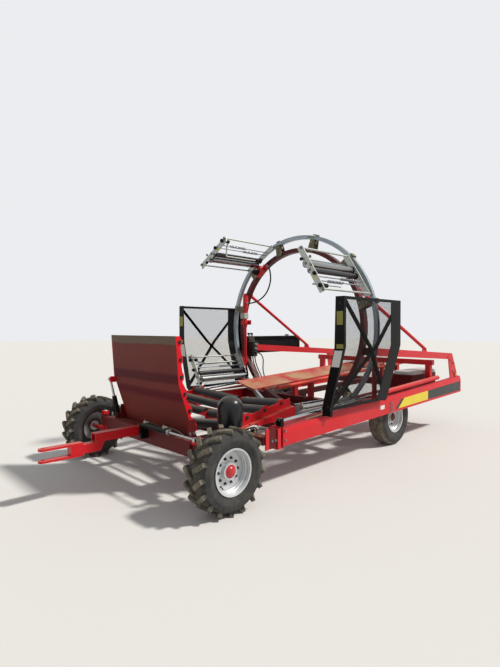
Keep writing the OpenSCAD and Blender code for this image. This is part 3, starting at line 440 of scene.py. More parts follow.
def hose(name, points, diameter):
    """A hose with a crimped end at each fixed point."""
    route = through([Vector(p) for p in points])
    piece = drawn(name, route, diameter / 2, 3)
    piece.data.materials.append(hose_rubber)
    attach(piece, "root")
    r = diameter * 500
    crimp = [
        (0, -4), (r * 1.5, -4), (r * 1.5, 10), (r * 1.15, 11), (r * 1.15, 14), (r * 1.35, 16), (r * 1.3, 40),
        (r * 1.05, 43), (0, 43),
    ]
    ends = (("start", route[0], route[1] - route[0]), ("far", route[-1], route[-2] - route[-1]))
    crimps = [lathe(f"{name}_{label}_crimp", crimp, end, way, plating, 16) for label, end, way in ends]


# From the ring's motor, round in front of the hoop, to the film cutter
hose("ring_motor_hose", [
    (-0.305, -0.5, 2.585), (-0.3, -0.452, 2.535), (-0.296, -0.422, 2.44), (-0.296, -0.424, 2.34),
    (-0.3, -0.478, 2.215), (-0.306, -0.57, 2.125), (-0.312, -0.69, 2.065), (-0.318, -0.82, 2.035),
    (-0.322, -0.962, 2.03),
], 0.022)
# From the foot of the valve block down to the cross tube
for n, (y0, y1, x1) in enumerate(((-1.06, -0.9, -0.575), (-1.012, -0.82, -0.55), (-0.962, -0.74, -0.525))):
    shares = [(k / 7) ** 2 * (3 - 2 * k / 7) for k in range(8)]
    hose(
        f"valve_hose_{n}",
        [(-0.5 + (x1 + 0.5) * s, y0 + (y1 - y0) * s, 1.176 - 0.5545 * k / 7) for k, s in enumerate(shares)],
        0.018,
    )
hose("valve_loop_hose", [
    (-0.482, -0.928, 1.235), (-0.482, -0.862, 1.236), (-0.485, -0.8, 1.207), (-0.489, -0.766, 1.145),
    (-0.492, -0.768, 1.06), (-0.495, -0.772, 0.97), (-0.5, -0.745, 0.86), (-0.505, -0.705, 0.745),
    (-0.508, -0.68, 0.6215),
], 0.018)
# From both ends of the coupling at the table's foot: one turns round beside it, one runs back by the side beam
round_turn = [
    (1.582 + 0.066 * sin(a), 1.051 - 0.066 * cos(a), 0.6225 - 0.0325 * cos(a))
    for a in (pi / 6 * k for k in range(7))
]
drop = [(1.58 - 0.064 * sin(a), 1.117, 0.591 + 0.064 * cos(a)) for a in (pi / 8 * k for k in range(1, 5))]
hose("table_hose_front", [(1.516, 0.985, 0.59), *round_turn, *drop, (1.516, 1.117, 0.566)], 0.014)
hose("table_hose_rear", [
    (1.418, 0.985, 0.59), (1.36, 0.985, 0.588), (1.27, 0.99, 0.57), (1.15, 1.01, 0.548),
    (1.000, 1.04, 0.54), (0.9, 1.07, 0.548), (0.838, 1.085, 0.545),
], 0.018)
# From the steering cylinder's two ports, and from the tailgate's cylinder, to the front axle beam
for n, y in enumerate((0.15, 0.5)):
    hose(f"steering_hose_{n}", [
        (2.2, y + 0.022, 0.656), (2.199, y + 0.07, 0.6575), (2.188, y + 0.125, 0.652),
        (2.16, y + 0.17, 0.634), (2.128, y + 0.2, 0.604), (2.105, y + 0.214, 0.5605),
    ], 0.014)
    lathe(
        f"steering_port_{n}", [(0, 0), (17, 0), (17, 22), (10, 24), (10, 31), (0, 32)],
        (2.2, y, 0.643), (0, 0, 1), plating, 24,
    )
hose("tailgate_cylinder_hose", [
    (2.052, -0.737, 0.69), (2.05, -0.79, 0.7), (2.045, -0.85, 0.68), (2.038, -0.878, 0.63),
    (2.035, -0.88, 0.5605),
], 0.014)


# Cross tubes and axle beams
# Welded square tubes in the same red, darkened to a maroon that is painted shade, as they are seen in the shade
# and from below, with dust lying on top and dried mud thrown up by the wheels. A bolted web with broad lips
# closes the post that each side beam starts with.
# Dark maroon paint: painted shade over the red. The dust on top and the mud low down are real.
shaded_dusty_frame = coated(
    "dusty_red_frame_paint", "#650b12", "#521116", 0.5, dust=0.4, chips=0.35, low=0.12,
    gloss=0.25, soil_and_sheen="#80523f",
)
dress(shaded_dusty_frame, "cross_members", "front_axle_beam", "rear_axle")


def upright_plates(name, x0, x1, y, z0, z1, thick, finish):
    """A plate on each side of the machine, standing outwards from a distance to its middle plane."""
    slabs(name, both_sides([(x0, y, z0), (x0, y, z1), (x1, y, z1), (x1, y, z0)]), thick, finish)


# End caps and webs in the shade-darkened red: painted shade on the tube ends and in the post's recess.
upright_plates("cross_tube_end_caps", 1.437, 1.553, 1.2342, 0.4923, 0.5633, 0.003, shaded_dusty_frame)
upright_plates("post_webs", 1.3646, 1.488, 1.2374, 0.44, 0.64, 0.003, shaded_dusty_frame)
upright_plates("post_lips", 1.488, 1.532, 1.2374, 0.44, 0.645, 0.0146, red_coat)
upright_plates("plate_lips", 1.32, 1.364, 1.2502, 0.42, 0.626, 0.004, red_coat)
bolts("post_bolts", outward(1.2406, ((1.385, 0.515), (1.435, 0.515))))


# Drawbar
# Two welded square tubes and a clevis of flat plates, worn bright round the hitch hole.
dress(red_coat, "drawbar")


def rod_piece(name, points, radius, finish, corners=12, body="root"):
    """A bent round bar, pipe or spring along points, as a swept mesh with closed ends."""
    mesh = plain_mesh(drawn(name, points, radius, max(0, corners // 4 - 1)), name)
    mesh.shade_smooth()
    mesh.set_sharp_from_angle(angle=radians(50))
    return settle(name, mesh, finish, body)


# A bead of weld under the paint, where the upper tube ends
bead = [(2.652 + 0.038 * i / 6, 0.044, 0.504) for i in range(7)]
rod_piece("drawbar_welds", bead, 0.004, red_coat, 8)
worn_steel = coated("worn_bright_steel", "#8a8782", "#6d5148", 0.38, metal=0.9, dust=0.2, chips=0.4)
for n, (z, up) in enumerate(((0.3955, -1), (0.5045, 1))):
    lathe(
        f"hitch_wear_ring_{n}", [(20.5, 0), (34, 0), (33, 1.2), (20.5, 1.2)],
        (3.171, 0.0, z), (0, 0, up), worn_steel,
    )


# Steering and knuckles
# Forged red knuckles on kingpins with grease nipples, a bare steel tie rod with ball ends, and a black
# cylinder with a wiper collar, bolted to the axle beam.
black_paint = coated(
    "satin_black_paint", "#070708", "#0d0e0f", 0.45, dust=0.15, chips=0.2, chip="#34312d",
    gloss=0.14,
)
bare_steel = coated("bare_steel_bar", "#85847f", "#6f6a62", 0.4, metal=0.9, chips=0.3)
rod_chrome = coated("hard_chromed_rod", "#b7babd", "#a9acae", 0.18, metal=1.0, dust=0.1)
dress(red_coat, "left_knuckle", "right_knuckle")
dress(bare_steel, "tie_rod")
dress(black_paint, "steering_cylinder", "gate_cylinder")
dress(rod_chrome, "steering_rod", "gate_cylinder_rod", "push_rods")
lathe(
    "steering_collar", [(13.5, 0), (27.5, 0), (29, 4), (29, 22), (24, 26), (13.5, 26)],
    (2.2, 0.5705, 0.6163), (0, 1, 0), plating,
)
SIDES = (("left", 1), ("right", -1))
for side, s in SIDES:
    lathe(
        f"{side}_kingpin_cap", [(0, 18), (6, 18), (7, 10), (16, 8), (24, 3), (26, 0), (0, 0)],
        (2.07, s, 0.6072), (0, 0, 1), plating, 24, f"{side}_knuckle",
    )


# Wheels
# Chevron-lugged tyres in front and ribbed ones behind, on pressed silver rims with stepped barrels. Field
# dust lies on the lugs and in the tread, and the side walls stay darker.
FRONT_X, REAR_AXLE_X, WHEEL_Z, FRONT_Y, REAR_Y = 2.07, -1.2, 0.38, 1.285, 1.036
SHOULDER, BOLT_CIRCLE = 0.345, 0.112


def wheel_rubber(name, wheel_x):
    """Tyre rubber: dark side walls with moulded rings, and dust from the tread's shoulder outwards."""
    made, tree, at = new_finish(name)
    hub = add_node(tree, "ShaderNodeVectorMath", {0: at, 1: (wheel_x, 0.0, WHEEL_Z)}, operation="SUBTRACT")
    flat = add_node(tree, "ShaderNodeVectorMath", {0: (hub, 0), 1: (1.0, 0.0, 1.0)}, operation="MULTIPLY")
    radius = (add_node(tree, "ShaderNodeVectorMath", {0: (flat, 0)}, operation="LENGTH"), "Value")
    blot, grit = noise(tree, at, 14.0, 5.0, 0.65), noise(tree, at, 160.0, 2.0)
    tread = ramp(tree, radius, SHOULDER, SHOULDER + 0.022, 0.12, 0.75)
    dust = maths(tree, "MULTIPLY", tread, ramp(tree, blot, 0.36, 0.62, 0.3))
    tone = mixed(tree, blot, linear("#222426"), linear("#35373a"))
    rings = maths(tree, "SINE", maths(tree, "MULTIPLY", radius, 420.0))
    surface(tree, maths(tree, "MULTIPLY_ADD", rings, 0.25, grit), 0.35, 0.002, {
        "Base Color": mixed(tree, dust, tone, linear("#8c8270")),
        "Roughness": 0.78,
        "Specular IOR Level": 0.3,
    })
    return made


def ribbed_profile():
    """Five ribs with grooves 9 mm wide and 10 mm deep, on the carcass that the frame gives, in mm."""
    side = [(202, 89), (222, 103), (268, 122), (310, 124), (342, 117), (356, 108)]
    tread = []
    for k in range(5):
        left = 86 - k * 35.6
        tread += [(380 - 10 * (y / 90) ** 2, y) for y in (left, left - 26.6)]
        if k < 4:
            tread += [(370 - 10 * (y / 90) ** 2, y - 2) for y in (left - 26.6, left - 32)]
    return side + tread + [(r, -y) for r, y in reversed(side)]


dress(wheel_rubber("lugged_tyre_rubber", FRONT_X), "front_left_tyre", "front_right_tyre")
rib_rubber = wheel_rubber("ribbed_tyre_rubber", REAR_AXLE_X)
for side, s in SIDES:
    tyre = lathe(
        f"rear_{side}_ribbed_tyre", ribbed_profile(), (REAR_AXLE_X, s * REAR_Y, WHEEL_Z), (0, 1, 0), rib_rubber,
        128, f"rear_{side}_wheel",
    )
    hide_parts(f"rear_{side}_tyre")

cap_paint = coated("glossy_red_hub_cap", "#c3101c", "#b5141e", 0.2, dust=0.1, coat=0.4)
rusty_cap = coated("rusty_hub_cap", "#6a3a26", "#54301f", 0.7, dust=0.2)
rim_bolt = coated("dark_wheel_bolt", "#4a4c4f", "#343432", 0.4, metal=0.8)
hub_cap = [(0, 26), (18, 25), (34, 20), (44, 11), (47, 4), (58, 3), (58, 0.5), (0, 0.5)]
barrel_steps = [
    (191.8, 92), (188, 90), (186, 80), (186, 64), (178, 56), (176.5, 48), (176.5, 36), (170, 30), (191.8, 26),
]
tyre_valve = [(0, 0), (7, 0), (7, 12), (4.5, 14), (4.5, 40), (5.5, 41), (5.5, 52), (0, 53)]
for axle, x, y, cap_finish in (("front", FRONT_X, FRONT_Y, cap_paint), ("rear", REAR_AXLE_X, REAR_Y, rusty_cap)):
    rim_paint_shaded_inside = coated(
        f"silver_{axle}_rim_paint", "#cfd2d4", "#bcbfc1", 0.35, metal=0.3, dust=0.12, chips=0.25,
    )
    # Everything inboard of the rim's outer face turns dark brown: painted shade inside the rim.
    zone(rim_paint_shaded_inside, "Y", y + 0.017, y + 0.011, "#33231d")
    dress(rim_paint_shaded_inside, f"{axle}_left_rim", f"{axle}_right_rim")
    for side, s in SIDES:
        wheel = f"{axle}_{side}_wheel"
        nuts = [
            ((x + BOLT_CIRCLE * cos(a), s * (y + 0.0232), WHEEL_Z + BOLT_CIRCLE * sin(a)), (0, s, 0))
            for a in (pi / 5 * k for k in range(10))
        ]
        lathe(f"{wheel}_cap", hub_cap, (x, s * (y + 0.06), WHEEL_Z), (0, s, 0), cap_finish, 40, wheel)
        lathe(f"{wheel}_barrel_steps", barrel_steps, (x, s * y, WHEEL_Z), (0, s, 0), rim_paint_shaded_inside, 72, wheel)
        bolts(f"{wheel}_nuts", nuts, 0.01, 0.012, rim_bolt, wheel)
        lathe(
            f"{wheel}_valve", tyre_valve, (x + 0.085, s * (y + 0.024), WHEEL_Z - 0.12), (0.25, s * 0.9, -0.2),
            black_paint, 12, wheel,
        )


# Roller table
# Scalloped red side plates and pointed centre brackets carry four pairs of rubber-sleeved rollers, each held
# by a bolt through the plate. Two domed drums of black plastic stand upright beside the front pair.
TABLE_SLOPE, DIP, SKEW = radians(9.5), radians(6.6), radians(8)


def on_table(along, y, up):
    """A point of the sloping table, in metres from the middle of its line of bolts."""
    c, s = cos(TABLE_SLOPE), sin(TABLE_SLOPE)
    return Vector((1.225 + along * c + up * s, y, 0.7 - along * s + up * c))


roller_rubber = coated(
    "grey_rubber_sleeve", "#34363a", "#3f4144", 0.5, dust=0.3, chips=0.15, chip="#5a5750",
    gloss=0.4,
)
cap_plastic = coated("grey_end_cap", "#4c4f51", "#5a5b5a", 0.45, dust=0.3)
dark_bolt = coated("blackened_bolt", "#2f3130", "#3c3c38", 0.45, metal=0.6, dust=0.3)
dress(red_coat, "table_side_plates", "table_spine")
dress(roller_rubber, "table_rollers")
origin = on_table(0, 0, 0)
side_bolts = []
for i in range(4):
    # The front pair is shorter and stands square to the spine
    end_y, skew = (0.742, 0.0) if i == 3 else (0.8, SKEW)
    for side, s in SIDES:
        inward = (-cos(DIP) * sin(skew), -s * cos(DIP) * cos(skew), -sin(DIP))
        axis = on_table(*inward) - origin
        seat = on_table((i - 1.5) * 0.274, s * end_y, 0)
        side_bolts.append((seat - axis * 0.0122, -axis))
        lathe(
            f"roller_cap_{i}_{side}", [(12.5, -6), (46, -6), (50.7, -2), (51.3, 6), (12.5, 6)],
            seat + axis * 0.012, axis, cap_plastic, 40,
        )
bolts("table_side_bolts", side_bolts, 0.015, 0.01, dark_bolt)
upward = on_table(0, 0, 1) - origin
flange_bolts = [(on_table(a, s * 0.842, -0.0703), upward) for s in (1, -1) for a in (-0.52, -0.3, -0.08, 0.14)]
bolts("table_flange_bolts", flange_bolts, 0.01)

drum_plastic = coated("black_drum_plastic", "#14161a", "#1a1d21", 0.26, dust=0.12, gloss=0.35)
dome = [(128 * cos(a), 200 + 110 * sin(a)) for a in (pi / 16 * k for k in range(8))]
guide_drum = [(0, 0), (116, 0), (124, 4), (128, 14), (128, 100), *dome, (12, 309.8), (0, 310)]
for side, s in SIDES:
    drum = lathe(f"{side}_guide_drum", guide_drum, (1.67, s * 0.885, 0.64), (0, 0, 1), drum_plastic, 72)
    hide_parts("guide_drums")

# Hose couplings on the front cross tube, beside the left side plate
for n, (x, long, wide, finish) in enumerate((
    (1.42, 24, 17, plating), (1.442, 50, 23.5, black_paint), (1.49, 24, 17, plating),
)):
    lathe(
        f"table_coupling_{n}",
        [(0, 0), (wide * 0.9, 0), (wide, 4), (wide, long - 4), (wide * 0.9, long), (0, long)],
        (x, 0.985, 0.59), (1, 0, 0), finish, 24,
    )


# Tailgate
# One folded sheet of rubbed steel between scalloped side plates, with six rollers behind it. It faces away from
# the light, so its maroon is painted shade, in level bands of darker and lighter tone by height, and dirt lies
# along the top edge.
def shaded_sheet():
    """The sheet's tones by height, from its foot to its top edge, as painted shade, and the paint's own bright red
    on its side plates.
    """
    made, tree, at = new_finish("rubbed_maroon_sheet")
    height = along(tree, at, "Z")
    blot, slow = noise(tree, at, 9.0, 6.0, 0.6), noise(tree, at, 1.6, 1.0)
    wander = maths(tree, "MULTIPLY_ADD", slow, 0.05, height)
    bands = add_node(tree, "ShaderNodeValToRGB", {0: ramp(tree, wander, 0.52, 1.59)})
    stops = bands.color_ramp.elements
    # These maroon and brown tones are painted shade of a sheet that faces away from the light.
    for position, tone in (
        (0.0, "#8a3d35"), (0.22, "#7c3832"), (0.36, "#72302b"), (0.4, "#5c1520"), (0.45, "#5e1721"),
        (0.48, "#74312d"), (0.53, "#70302b"), (0.56, "#4e0f18"), (0.62, "#50101a"), (0.65, "#6c2e29"),
        (0.85, "#703530"), (1.0, "#66352e"),
    ):
        stop = stops.new(position) if 0 < position < 1 else stops[0 if position == 0 else -1]
        stop.color = linear(tone)
    rough_edge = maths(tree, "MULTIPLY_ADD", blot, 0.04, height)
    top_dirt = ramp(tree, rough_edge, 1.478, 1.492, last=0.85)
    surface(tree, blot, 0.1, 0.003, {
        "Base Color": mixed(tree, top_dirt, (bands, 0), linear("#685e4f")),
        "Roughness": ramp(tree, blot, first=0.48, last=0.62),
        "Specular IOR Level": 0.12,
    })
    return zone(made, "Y", 0.6488, 0.6496, "#d91c28")


def gate_x(z):
    """The tailgate sheet's front face at a height."""
    if z < 1.08:
        return 1.94 + 0.19 * (z - 0.52) / 0.56
    return 2.13 + 0.034 * (z - 1.08) / 0.47


dress(shaded_sheet(), "tailgate_sheet")
dress(roller_rubber, "tailgate_rollers")
gate_bolts = outward(0.6562, [(gate_x(z) - 0.038, z) for z in (0.64 + 0.17 * k for k in range(6))])
bolts("tailgate_bolts", gate_bolts, 0.015, 0.01, dark_bolt, "tailgate")
bolts("hinge_lug_bolts", outward(0.6765, ((1.965, 0.585), (2.015, 0.585))), 0.012, 0.009)


# Hoop, stays and rails
# A rolled red box section stands on the frame and carries the film ring on grey rollers in plated clamps.
# Two tube stays and two box rails hold it from behind.
hoop_paint = coated(
    "shaded_red_hoop_paint", "#54080f", "#480a10", 0.4, dust=0.12, chips=0.3, gloss=0.3,
)
clamp_zinc = coated("yellow_zinc_clamp", "#6f684e", "#57523f", 0.45, metal=0.45, dust=0.3, chips=0.4)
# The hoop's dark maroon is its red paint with painted shade in it.
dress(hoop_paint, "hoop")
dress(red_coat, "hoop_stays", "side_rails")
dress(clamp_zinc, "hoop_guide_rollers")
HOOP_X, HOOP_Z = -0.4, 1.63
FORWARD = (1, 0, 0)


def on_hoop(angle, radius, forward, across=0.0):
    """A point by the hoop's radius at an angle (degrees above the left side), forward of its middle plane."""
    a = radians(angle)
    y, z = radius * cos(a) - across * sin(a), radius * sin(a) + across * cos(a)
    return Vector((HOOP_X + forward, y, HOOP_Z + z))


clamp_bolts = [
    (on_hoop(15 + 30 * k + d, radius, 0.0525), FORWARD)
    for k in range(12) if k not in (6, 11)
    for d, radius in ((-1.8, 1.135), (1.8, 1.135), (0.0, 1.245))
]
bolts("clamp_bolts", clamp_bolts, 0.012, 0.01)
rear_plate_bolts = ((-2.86, 1.11), (-2.96, 1.06), (-2.93, 0.92), (-3.02, 0.9))
for side, s in SIDES:
    rail_bolts = [((-0.4757, s * 1.176, z), FORWARD) for z in (1.29, 1.37)]
    rail_bolts += [((x, s * 1.2345, z), (0, s, 0)) for x, z in rear_plate_bolts]
    bolts(f"{side}_rail_bolts", rail_bolts, 0.012, 0.009)
    amber = coated(f"{side}_amber_reflector", "#e08a18", "#e6a02a", 0.15, dust=0.1, coat=0.6)
    lathe(
        f"{side}_rear_reflector", [(0, 10), (20, 9), (28, 6), (30, 0), (0, 0)],
        (-3.05, s * 1.2345, 0.866), (0, s, 0), amber,
    )


# Film ring and dispensers
# A rolled zinc-plated ring turns round the hoop. On it sit four dispensers, each with two carrying rods, two
# pale plates, a smooth steel stretch roller, a rubber-sleeved film roller, thin guide rods and springs.
ring_zinc = coated("blue_grey_zinc_ring", "#87929a", "#9aa3a8", 0.36, metal=0.65, dust=0.12)
plate_zinc = coated("pale_zinc_plates", "#aab0ac", "#bdc0b8", 0.42, metal=0.35, dust=0.12)
smooth_steel = coated("smooth_roller_steel", "#a3a6aa", "#93928e", 0.2, metal=0.95, dust=0.1)
film_sleeve = coated("blue_black_roller_sleeve", "#10141b", "#171b22", 0.2, dust=0.15, gloss=0.6)
dress(ring_zinc, "film_ring")
dress(plate_zinc, "dispenser_frames")
dress(smooth_steel, "stretch_rollers")
dress(film_sleeve, "film_rollers")

RING, FIRST_DISPENSER = "film_ring", 19.4
# Forward of the ring: the inner plate's face, and the outer plate's back and face
INNER_FACE, OUTER_BACK, OUTER_FACE = 0.0756, 0.9947, 1.005
# Radial and crosswise places on the plates
GUIDE_RODS, ROLLERS = ((1.258, 0.18), (1.272, 0.12), (1.12, 0.47)), ((1.176, 0.376), (1.206, 0.28))
ARM_PIVOT, ARM_END = (1.296, 0.05), (1.12, 0.15)
TAG = ((1.215, 0.15), (1.215, 0.19), (1.245, 0.19), (1.245, 0.15))
SPRING_TURNS, SPRING_LENGTH, SPRING_RADIUS = 24, 0.3, 0.015


def on_plate(k, radial, across, forward):
    """A point of dispenser k: the frame's own radial and crosswise lines, forward of the ring's middle plane."""
    return on_hoop(FIRST_DISPENSER + 90 * k, radial, forward, across)


for k in range(4):
    unit = f"dispenser_{k}"
    for n, (place, radius) in enumerate(zip(GUIDE_RODS, (0.008, 0.008, 0.007))):
        rod = [on_plate(k, *place, forward) for forward in (INNER_FACE, OUTER_BACK)]
        rod_piece(f"{unit}_guide_rod_{n}", rod, radius, ring_zinc, body=RING)
    # Springs on the first two rods
    for n, ((radial, across), start) in enumerate(zip(GUIDE_RODS, (0.22, 0.52))):
        coil = []
        for step in range(SPRING_TURNS * 9 + 1):
            a, r = 2 * pi * step / 9, SPRING_RADIUS
            forward = start + SPRING_LENGTH * step / (SPRING_TURNS * 9)
            coil.append(on_plate(k, radial + r * cos(a), across + r * sin(a), forward))
        rod_piece(f"{unit}_spring_{n}", coil, 0.0028, smooth_steel, 4, RING)
    # Swinging arm that presses the film roll, with its pivot block and the bar along the roll
    arm = [on_plate(k, *place, 0.9) for place in (ARM_PIVOT, (1.25, 0.1), (1.18, 0.13), ARM_END)]
    rod_piece(f"{unit}_press_arm", arm, 0.011, plate_zinc, body=RING)
    bar = [on_plate(k, *ARM_END, forward) for forward in (0.9, 0.34)]
    rod_piece(f"{unit}_press_bar", bar, 0.009, plate_zinc, body=RING)
    lathe(
        f"{unit}_arm_pivot", [(0, 0), (22, 0), (24, 4), (24, 100), (20, 106), (0, 106)],
        on_plate(k, *ARM_PIVOT, 0.889), FORWARD, black_paint, 24, RING,
    )
    for n, (place, r) in enumerate((((1.268, 0.21), 24), (ARM_PIVOT, 26), ((1.15, 0.44), 20))):
        lathe(
            f"{unit}_knob_{n}", [(0, 34), (r * 0.7, 33), (r, 26), (r, 10), (r * 0.5, 7), (r * 0.5, 0), (0, 0)],
            on_plate(k, *place, OUTER_FACE + 0.0002), FORWARD, black_paint, 20, RING,
        )
    # Dust collars round the ends of both rollers
    for n, (place, r, bore) in enumerate(zip(ROLLERS, (52, 42), (40, 34.5))):
        collar = [(bore, 0), (r, 0), (r, 9), (bore + 2, 12), (bore, 12)]
        for label, forward, way in (("inner", INNER_FACE, 1), ("outer", OUTER_BACK, -1)):
            seat = on_plate(k, *place, forward + way * 0.0002)
            lathe(f"{unit}_{label}_collar_{n}", collar, seat, (way, 0, 0), black_paint, body=RING)
    tag = [on_plate(k, *place, OUTER_FACE + 0.0002) for place in TAG]
    slabs(f"{unit}_blank_tag", [tag], 0.001, yellow_vinyl, RING)
    heads = [on_plate(k, *place, OUTER_FACE + 0.0003) for place in (*ROLLERS, (1.262, 0.42), (1.24, 0.33))]
    # The two carrying rods end in nuts
    heads += [on_hoop(FIRST_DISPENSER + 90 * k + d, 1.312, 1.0155) for d in (0, 26)]
    bolts(f"{unit}_bolts", [(head, FORWARD) for head in heads], 0.014, 0.01, body=RING)
# Joint plates between the dispensers, where the ring's four rolled lengths meet
for k in range(4):
    joint = FIRST_DISPENSER + 90 * k - 32
    sweep = range(-3, 4)
    plate = [on_hoop(joint + a, 1.299, 0.0252) for a in sweep]
    plate += [on_hoop(joint + a, 1.3342, 0.0252) for a in sweep[::-1]]
    slabs(f"ring_joint_plate_{k}", [plate], 0.006, plate_zinc, RING)
    heads = [(on_hoop(joint + a, 1.317, 0.032), FORWARD) for a in (-2.1, -0.8, 0.8, 2.1)]
    bolts(f"ring_joint_bolts_{k}", heads, 0.009, 0.007, body=RING)


# Ring drive
# A red box on the hoop's upper right holds a hydraulic motor, whose black body stands out in front and whose
# red port block takes the hose.
dress(red_coat, "ring_drive")
DRIVE_ANGLE = 127


def rounded(name, low, high, bevel):
    """The mesh of a machined or folded block with rounded edges, between two corners."""
    bm = bmesh.new()
    bmesh.ops.create_cube(bm, size=1.0)
    for vert in bm.verts:
        vert.co = Vector([low[i] if vert.co[i] < 0 else high[i] for i in range(3)])
    bmesh.ops.bevel(bm, geom=list(bm.edges), offset=bevel, segments=2, affect="EDGES", profile=0.5)
    return made_mesh(name, bm)


def block(name, low, high, finish, bevel):
    """Such a block as a finished piece of the frame."""
    return settle(name, rounded(name, low, high, bevel), finish, "root")


lathe(
    "drive_motor", [(0, 88), (20, 88), (30, 84), (34, 70), (34, 40), (42, 38), (42, 0), (0, 0)],
    on_hoop(DRIVE_ANGLE, 1.098, 0.1326, 0.02), FORWARD, black_paint,
)
block("drive_port_block", (-0.34, -0.566, 2.556), (-0.285, -0.516, 2.606), red_coat, 0.004)
block("drive_port_bracket", (-0.357, -0.61, 2.53), (-0.341, -0.53, 2.6), red_coat, 0.003)
corners = [on_hoop(DRIVE_ANGLE, r, 0.1328, t) for r in (1.062, 1.134) for t in (-0.066, 0.066)]
bolts("drive_bolts", [(corner, FORWARD) for corner in corners], 0.009)


# Film cutter
# Beside the hoop's right leg a red cylinder works the film cutter through a long red rod. A pale valve body
# sits on it, held to the hoop by a red bracket.
dress(red_coat, "film_cutter")
lathe(
    "cutter_barrel",
    [(18.5, 0), (30, 0), (34, 4), (34, 26), (31, 30), (31, 290), (36, 294), (36, 322), (18.5, 322)],
    (-0.3187, -1.000, 1.655), (0, 0, 1), red_coat,
)
pale_cast = coated("pale_cast_valve_body", "#b5b6b0", "#a3a39a", 0.5, dust=0.25)
block("cutter_valve_body", (-0.356, -1.06, 1.784), (-0.265, -0.962, 1.874), pale_cast, 0.006)
block("cutter_bracket", (-0.3578, -1.118, 1.69), (-0.346, -0.9, 1.762), red_coat, 0.002)
block("cutter_clamp", (-0.346, -1.052, 1.702), (-0.272, -0.948, 1.752), red_coat, 0.004)
block("cutter_head_cap", (-0.354, -1.024, 2.16), (-0.301, -0.976, 2.19), red_coat, 0.006)
heads = [((-0.3458, y, z), FORWARD) for y in (-1.098, -1.076, -0.92) for z in (1.706, 1.746)]
bolts("cutter_bolts", heads, 0.008, 0.006)


# Side guards
# Black tube and sheet frames with crossed bars, covered by a fine see-through net.
# The front panels carry blank olive and white plates.
dress(black_paint, "side_guards")
GUARD_FOOT, GUARD_KNEE, GUARD_Y = 0.716, 1.42, 1.51


def guard_y(z):
    """The guard's outer face at a height: it leans out up to its knee, and stands upright above."""
    return GUARD_Y - 0.19 * max(0.0, GUARD_KNEE - z) / (GUARD_KNEE - GUARD_FOOT)


def net_tree():
    """Wires both ways over a bent line, which is swept along X: the same pitch lengthwise and upwards."""
    tree, given = open_tree("guard_net", "Line", {"Pitch": 0.009, "Wire radius": 0.0009, "Length": 0.9}, "Net")
    pitch, length = (given, "Pitch"), (given, "Length")
    line = add_node(tree, "GeometryNodeMeshToCurve", {"Mesh": (given, "Line")})
    marks = add_node(tree, "GeometryNodeResampleCurve", {"Curve": (line, 0), "Length": pitch}, mode="LENGTH")
    end = add_node(tree, "ShaderNodeCombineXYZ", {"X": length})
    straight = add_node(tree, "GeometryNodeCurvePrimitiveLine", {"End": (end, 0)}, mode="POINTS")
    steps = add_node(tree, "GeometryNodeResampleCurve", {"Curve": (straight, 0), "Length": pitch}, mode="LENGTH")
    rows, columns = copies(tree, (marks, 0), (straight, 0)), copies(tree, (steps, 0), (line, 0))
    wires = add_node(tree, "GeometryNodeRealizeInstances", {0: joined(tree, rows, columns)})
    round_wire = {"Resolution": 4, "Radius": (given, "Wire radius")}
    section = add_node(tree, "GeometryNodeCurvePrimitiveCircle", round_wire)
    sweep = {"Curve": (wires, 0), "Profile Curve": (section, 0), "Fill Caps": True}
    return close_tree(tree, given, (add_node(tree, "GeometryNodeCurveToMesh", sweep), 0))


net_wire = coated("black_woven_net", "#070708", "#0c0c0d", 0.7, dust=0.1, gloss=0.15)
guard_net = net_tree()
net_low, net_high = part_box("guard_nets")
for side, s in SIDES:
    bends = ((net_low.z, 0.002), (GUARD_KNEE, 0.0), (net_high.z, -0.002))
    bent = bpy.data.meshes.new("bent_line")
    line = [(net_low.x, s * (guard_y(z) - 0.0012), z + inset) for z, inset in bends]
    bent.from_pydata(line, [(0, 1), (1, 2)], [])
    sizes = {"pitch": 0.009, "wire_radius": 0.0009, "length": net_high.x - net_low.x}
    net = grow(f"{side}_guard_net", guard_net, bent, net_wire, **sizes)
    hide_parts("guard_nets")

# Inward flanges of the crossed angle irons, along the bars that the frame gives
BAR_FOOT, BAR_RISE = 0.728, 1.235
knee = (GUARD_KNEE - BAR_FOOT) / BAR_RISE
brace_flanges = []
for s in (1, -1):
    for x0, x1 in ((0.59, -0.622), (-0.622, 0.59)):
        for t0, t1 in ((0.0, knee), (knee, 1.0)):
            flange = []
            for t, depth in ((t0, 0.012), (t1, 0.012), (t1, 0.044), (t0, 0.044)):
                z = BAR_FOOT + BAR_RISE * t
                flange.append((x0 + (x1 - x0) * t, s * (guard_y(z) - depth), z))
            brace_flanges.append(flange)
slabs("guard_brace_flanges", brace_flanges, 0.005, black_paint)

olive_vinyl = coated("olive_sign_vinyl", "#8f8a34", "#7b7738", 0.5, dust=0.2)
guard_plates = (
    (1.665, 1.812, 1.415, 1.495, 0.0, olive_vinyl), (1.408, 1.455, 1.412, 1.5, 0.0, olive_vinyl),
    (1.205, 1.385, 1.344, 1.447, 0.042, white_vinyl),
)
for side, s in SIDES:
    for n, (z0, z1, y0, y1, lean, finish) in enumerate(guard_plates):
        plate = [(0.6003, s * y, z) for y, z in ((y0, z0), (y1, z0), (y1 + lean, z1), (y0 + lean, z1))]
        slabs(f"{side}_guard_plate_{n}", [plate[::s]], 0.0015, finish)
heads = [((0.6002, s * y, z), FORWARD) for s in (1, -1) for y, z in ((1.3, 0.76), (1.46, 1.9))]
bolts("guard_bolts", heads, 0.009, 0.006, dark_bolt)


# Loading deck and push frame
# Two folded red slides carry the bale string, worn to a paler red where bales ride, with soil lying on them
# and orange edges rubbed bare of dirt. The push cylinders are painted red as well.
deck_paint = coated(
    "worn_deck_paint", "#a8131a", "#b53a30", 0.42, dust=0.9, chips=0.5, gloss=0.3, even=-0.45,
    soil_and_sheen="#b29570",
)
dress(zone(deck_paint, "Y", 0.366, 0.376, "#d2452f"), "loading_deck")
dress(red_coat, "push_frame", "push_barrels")
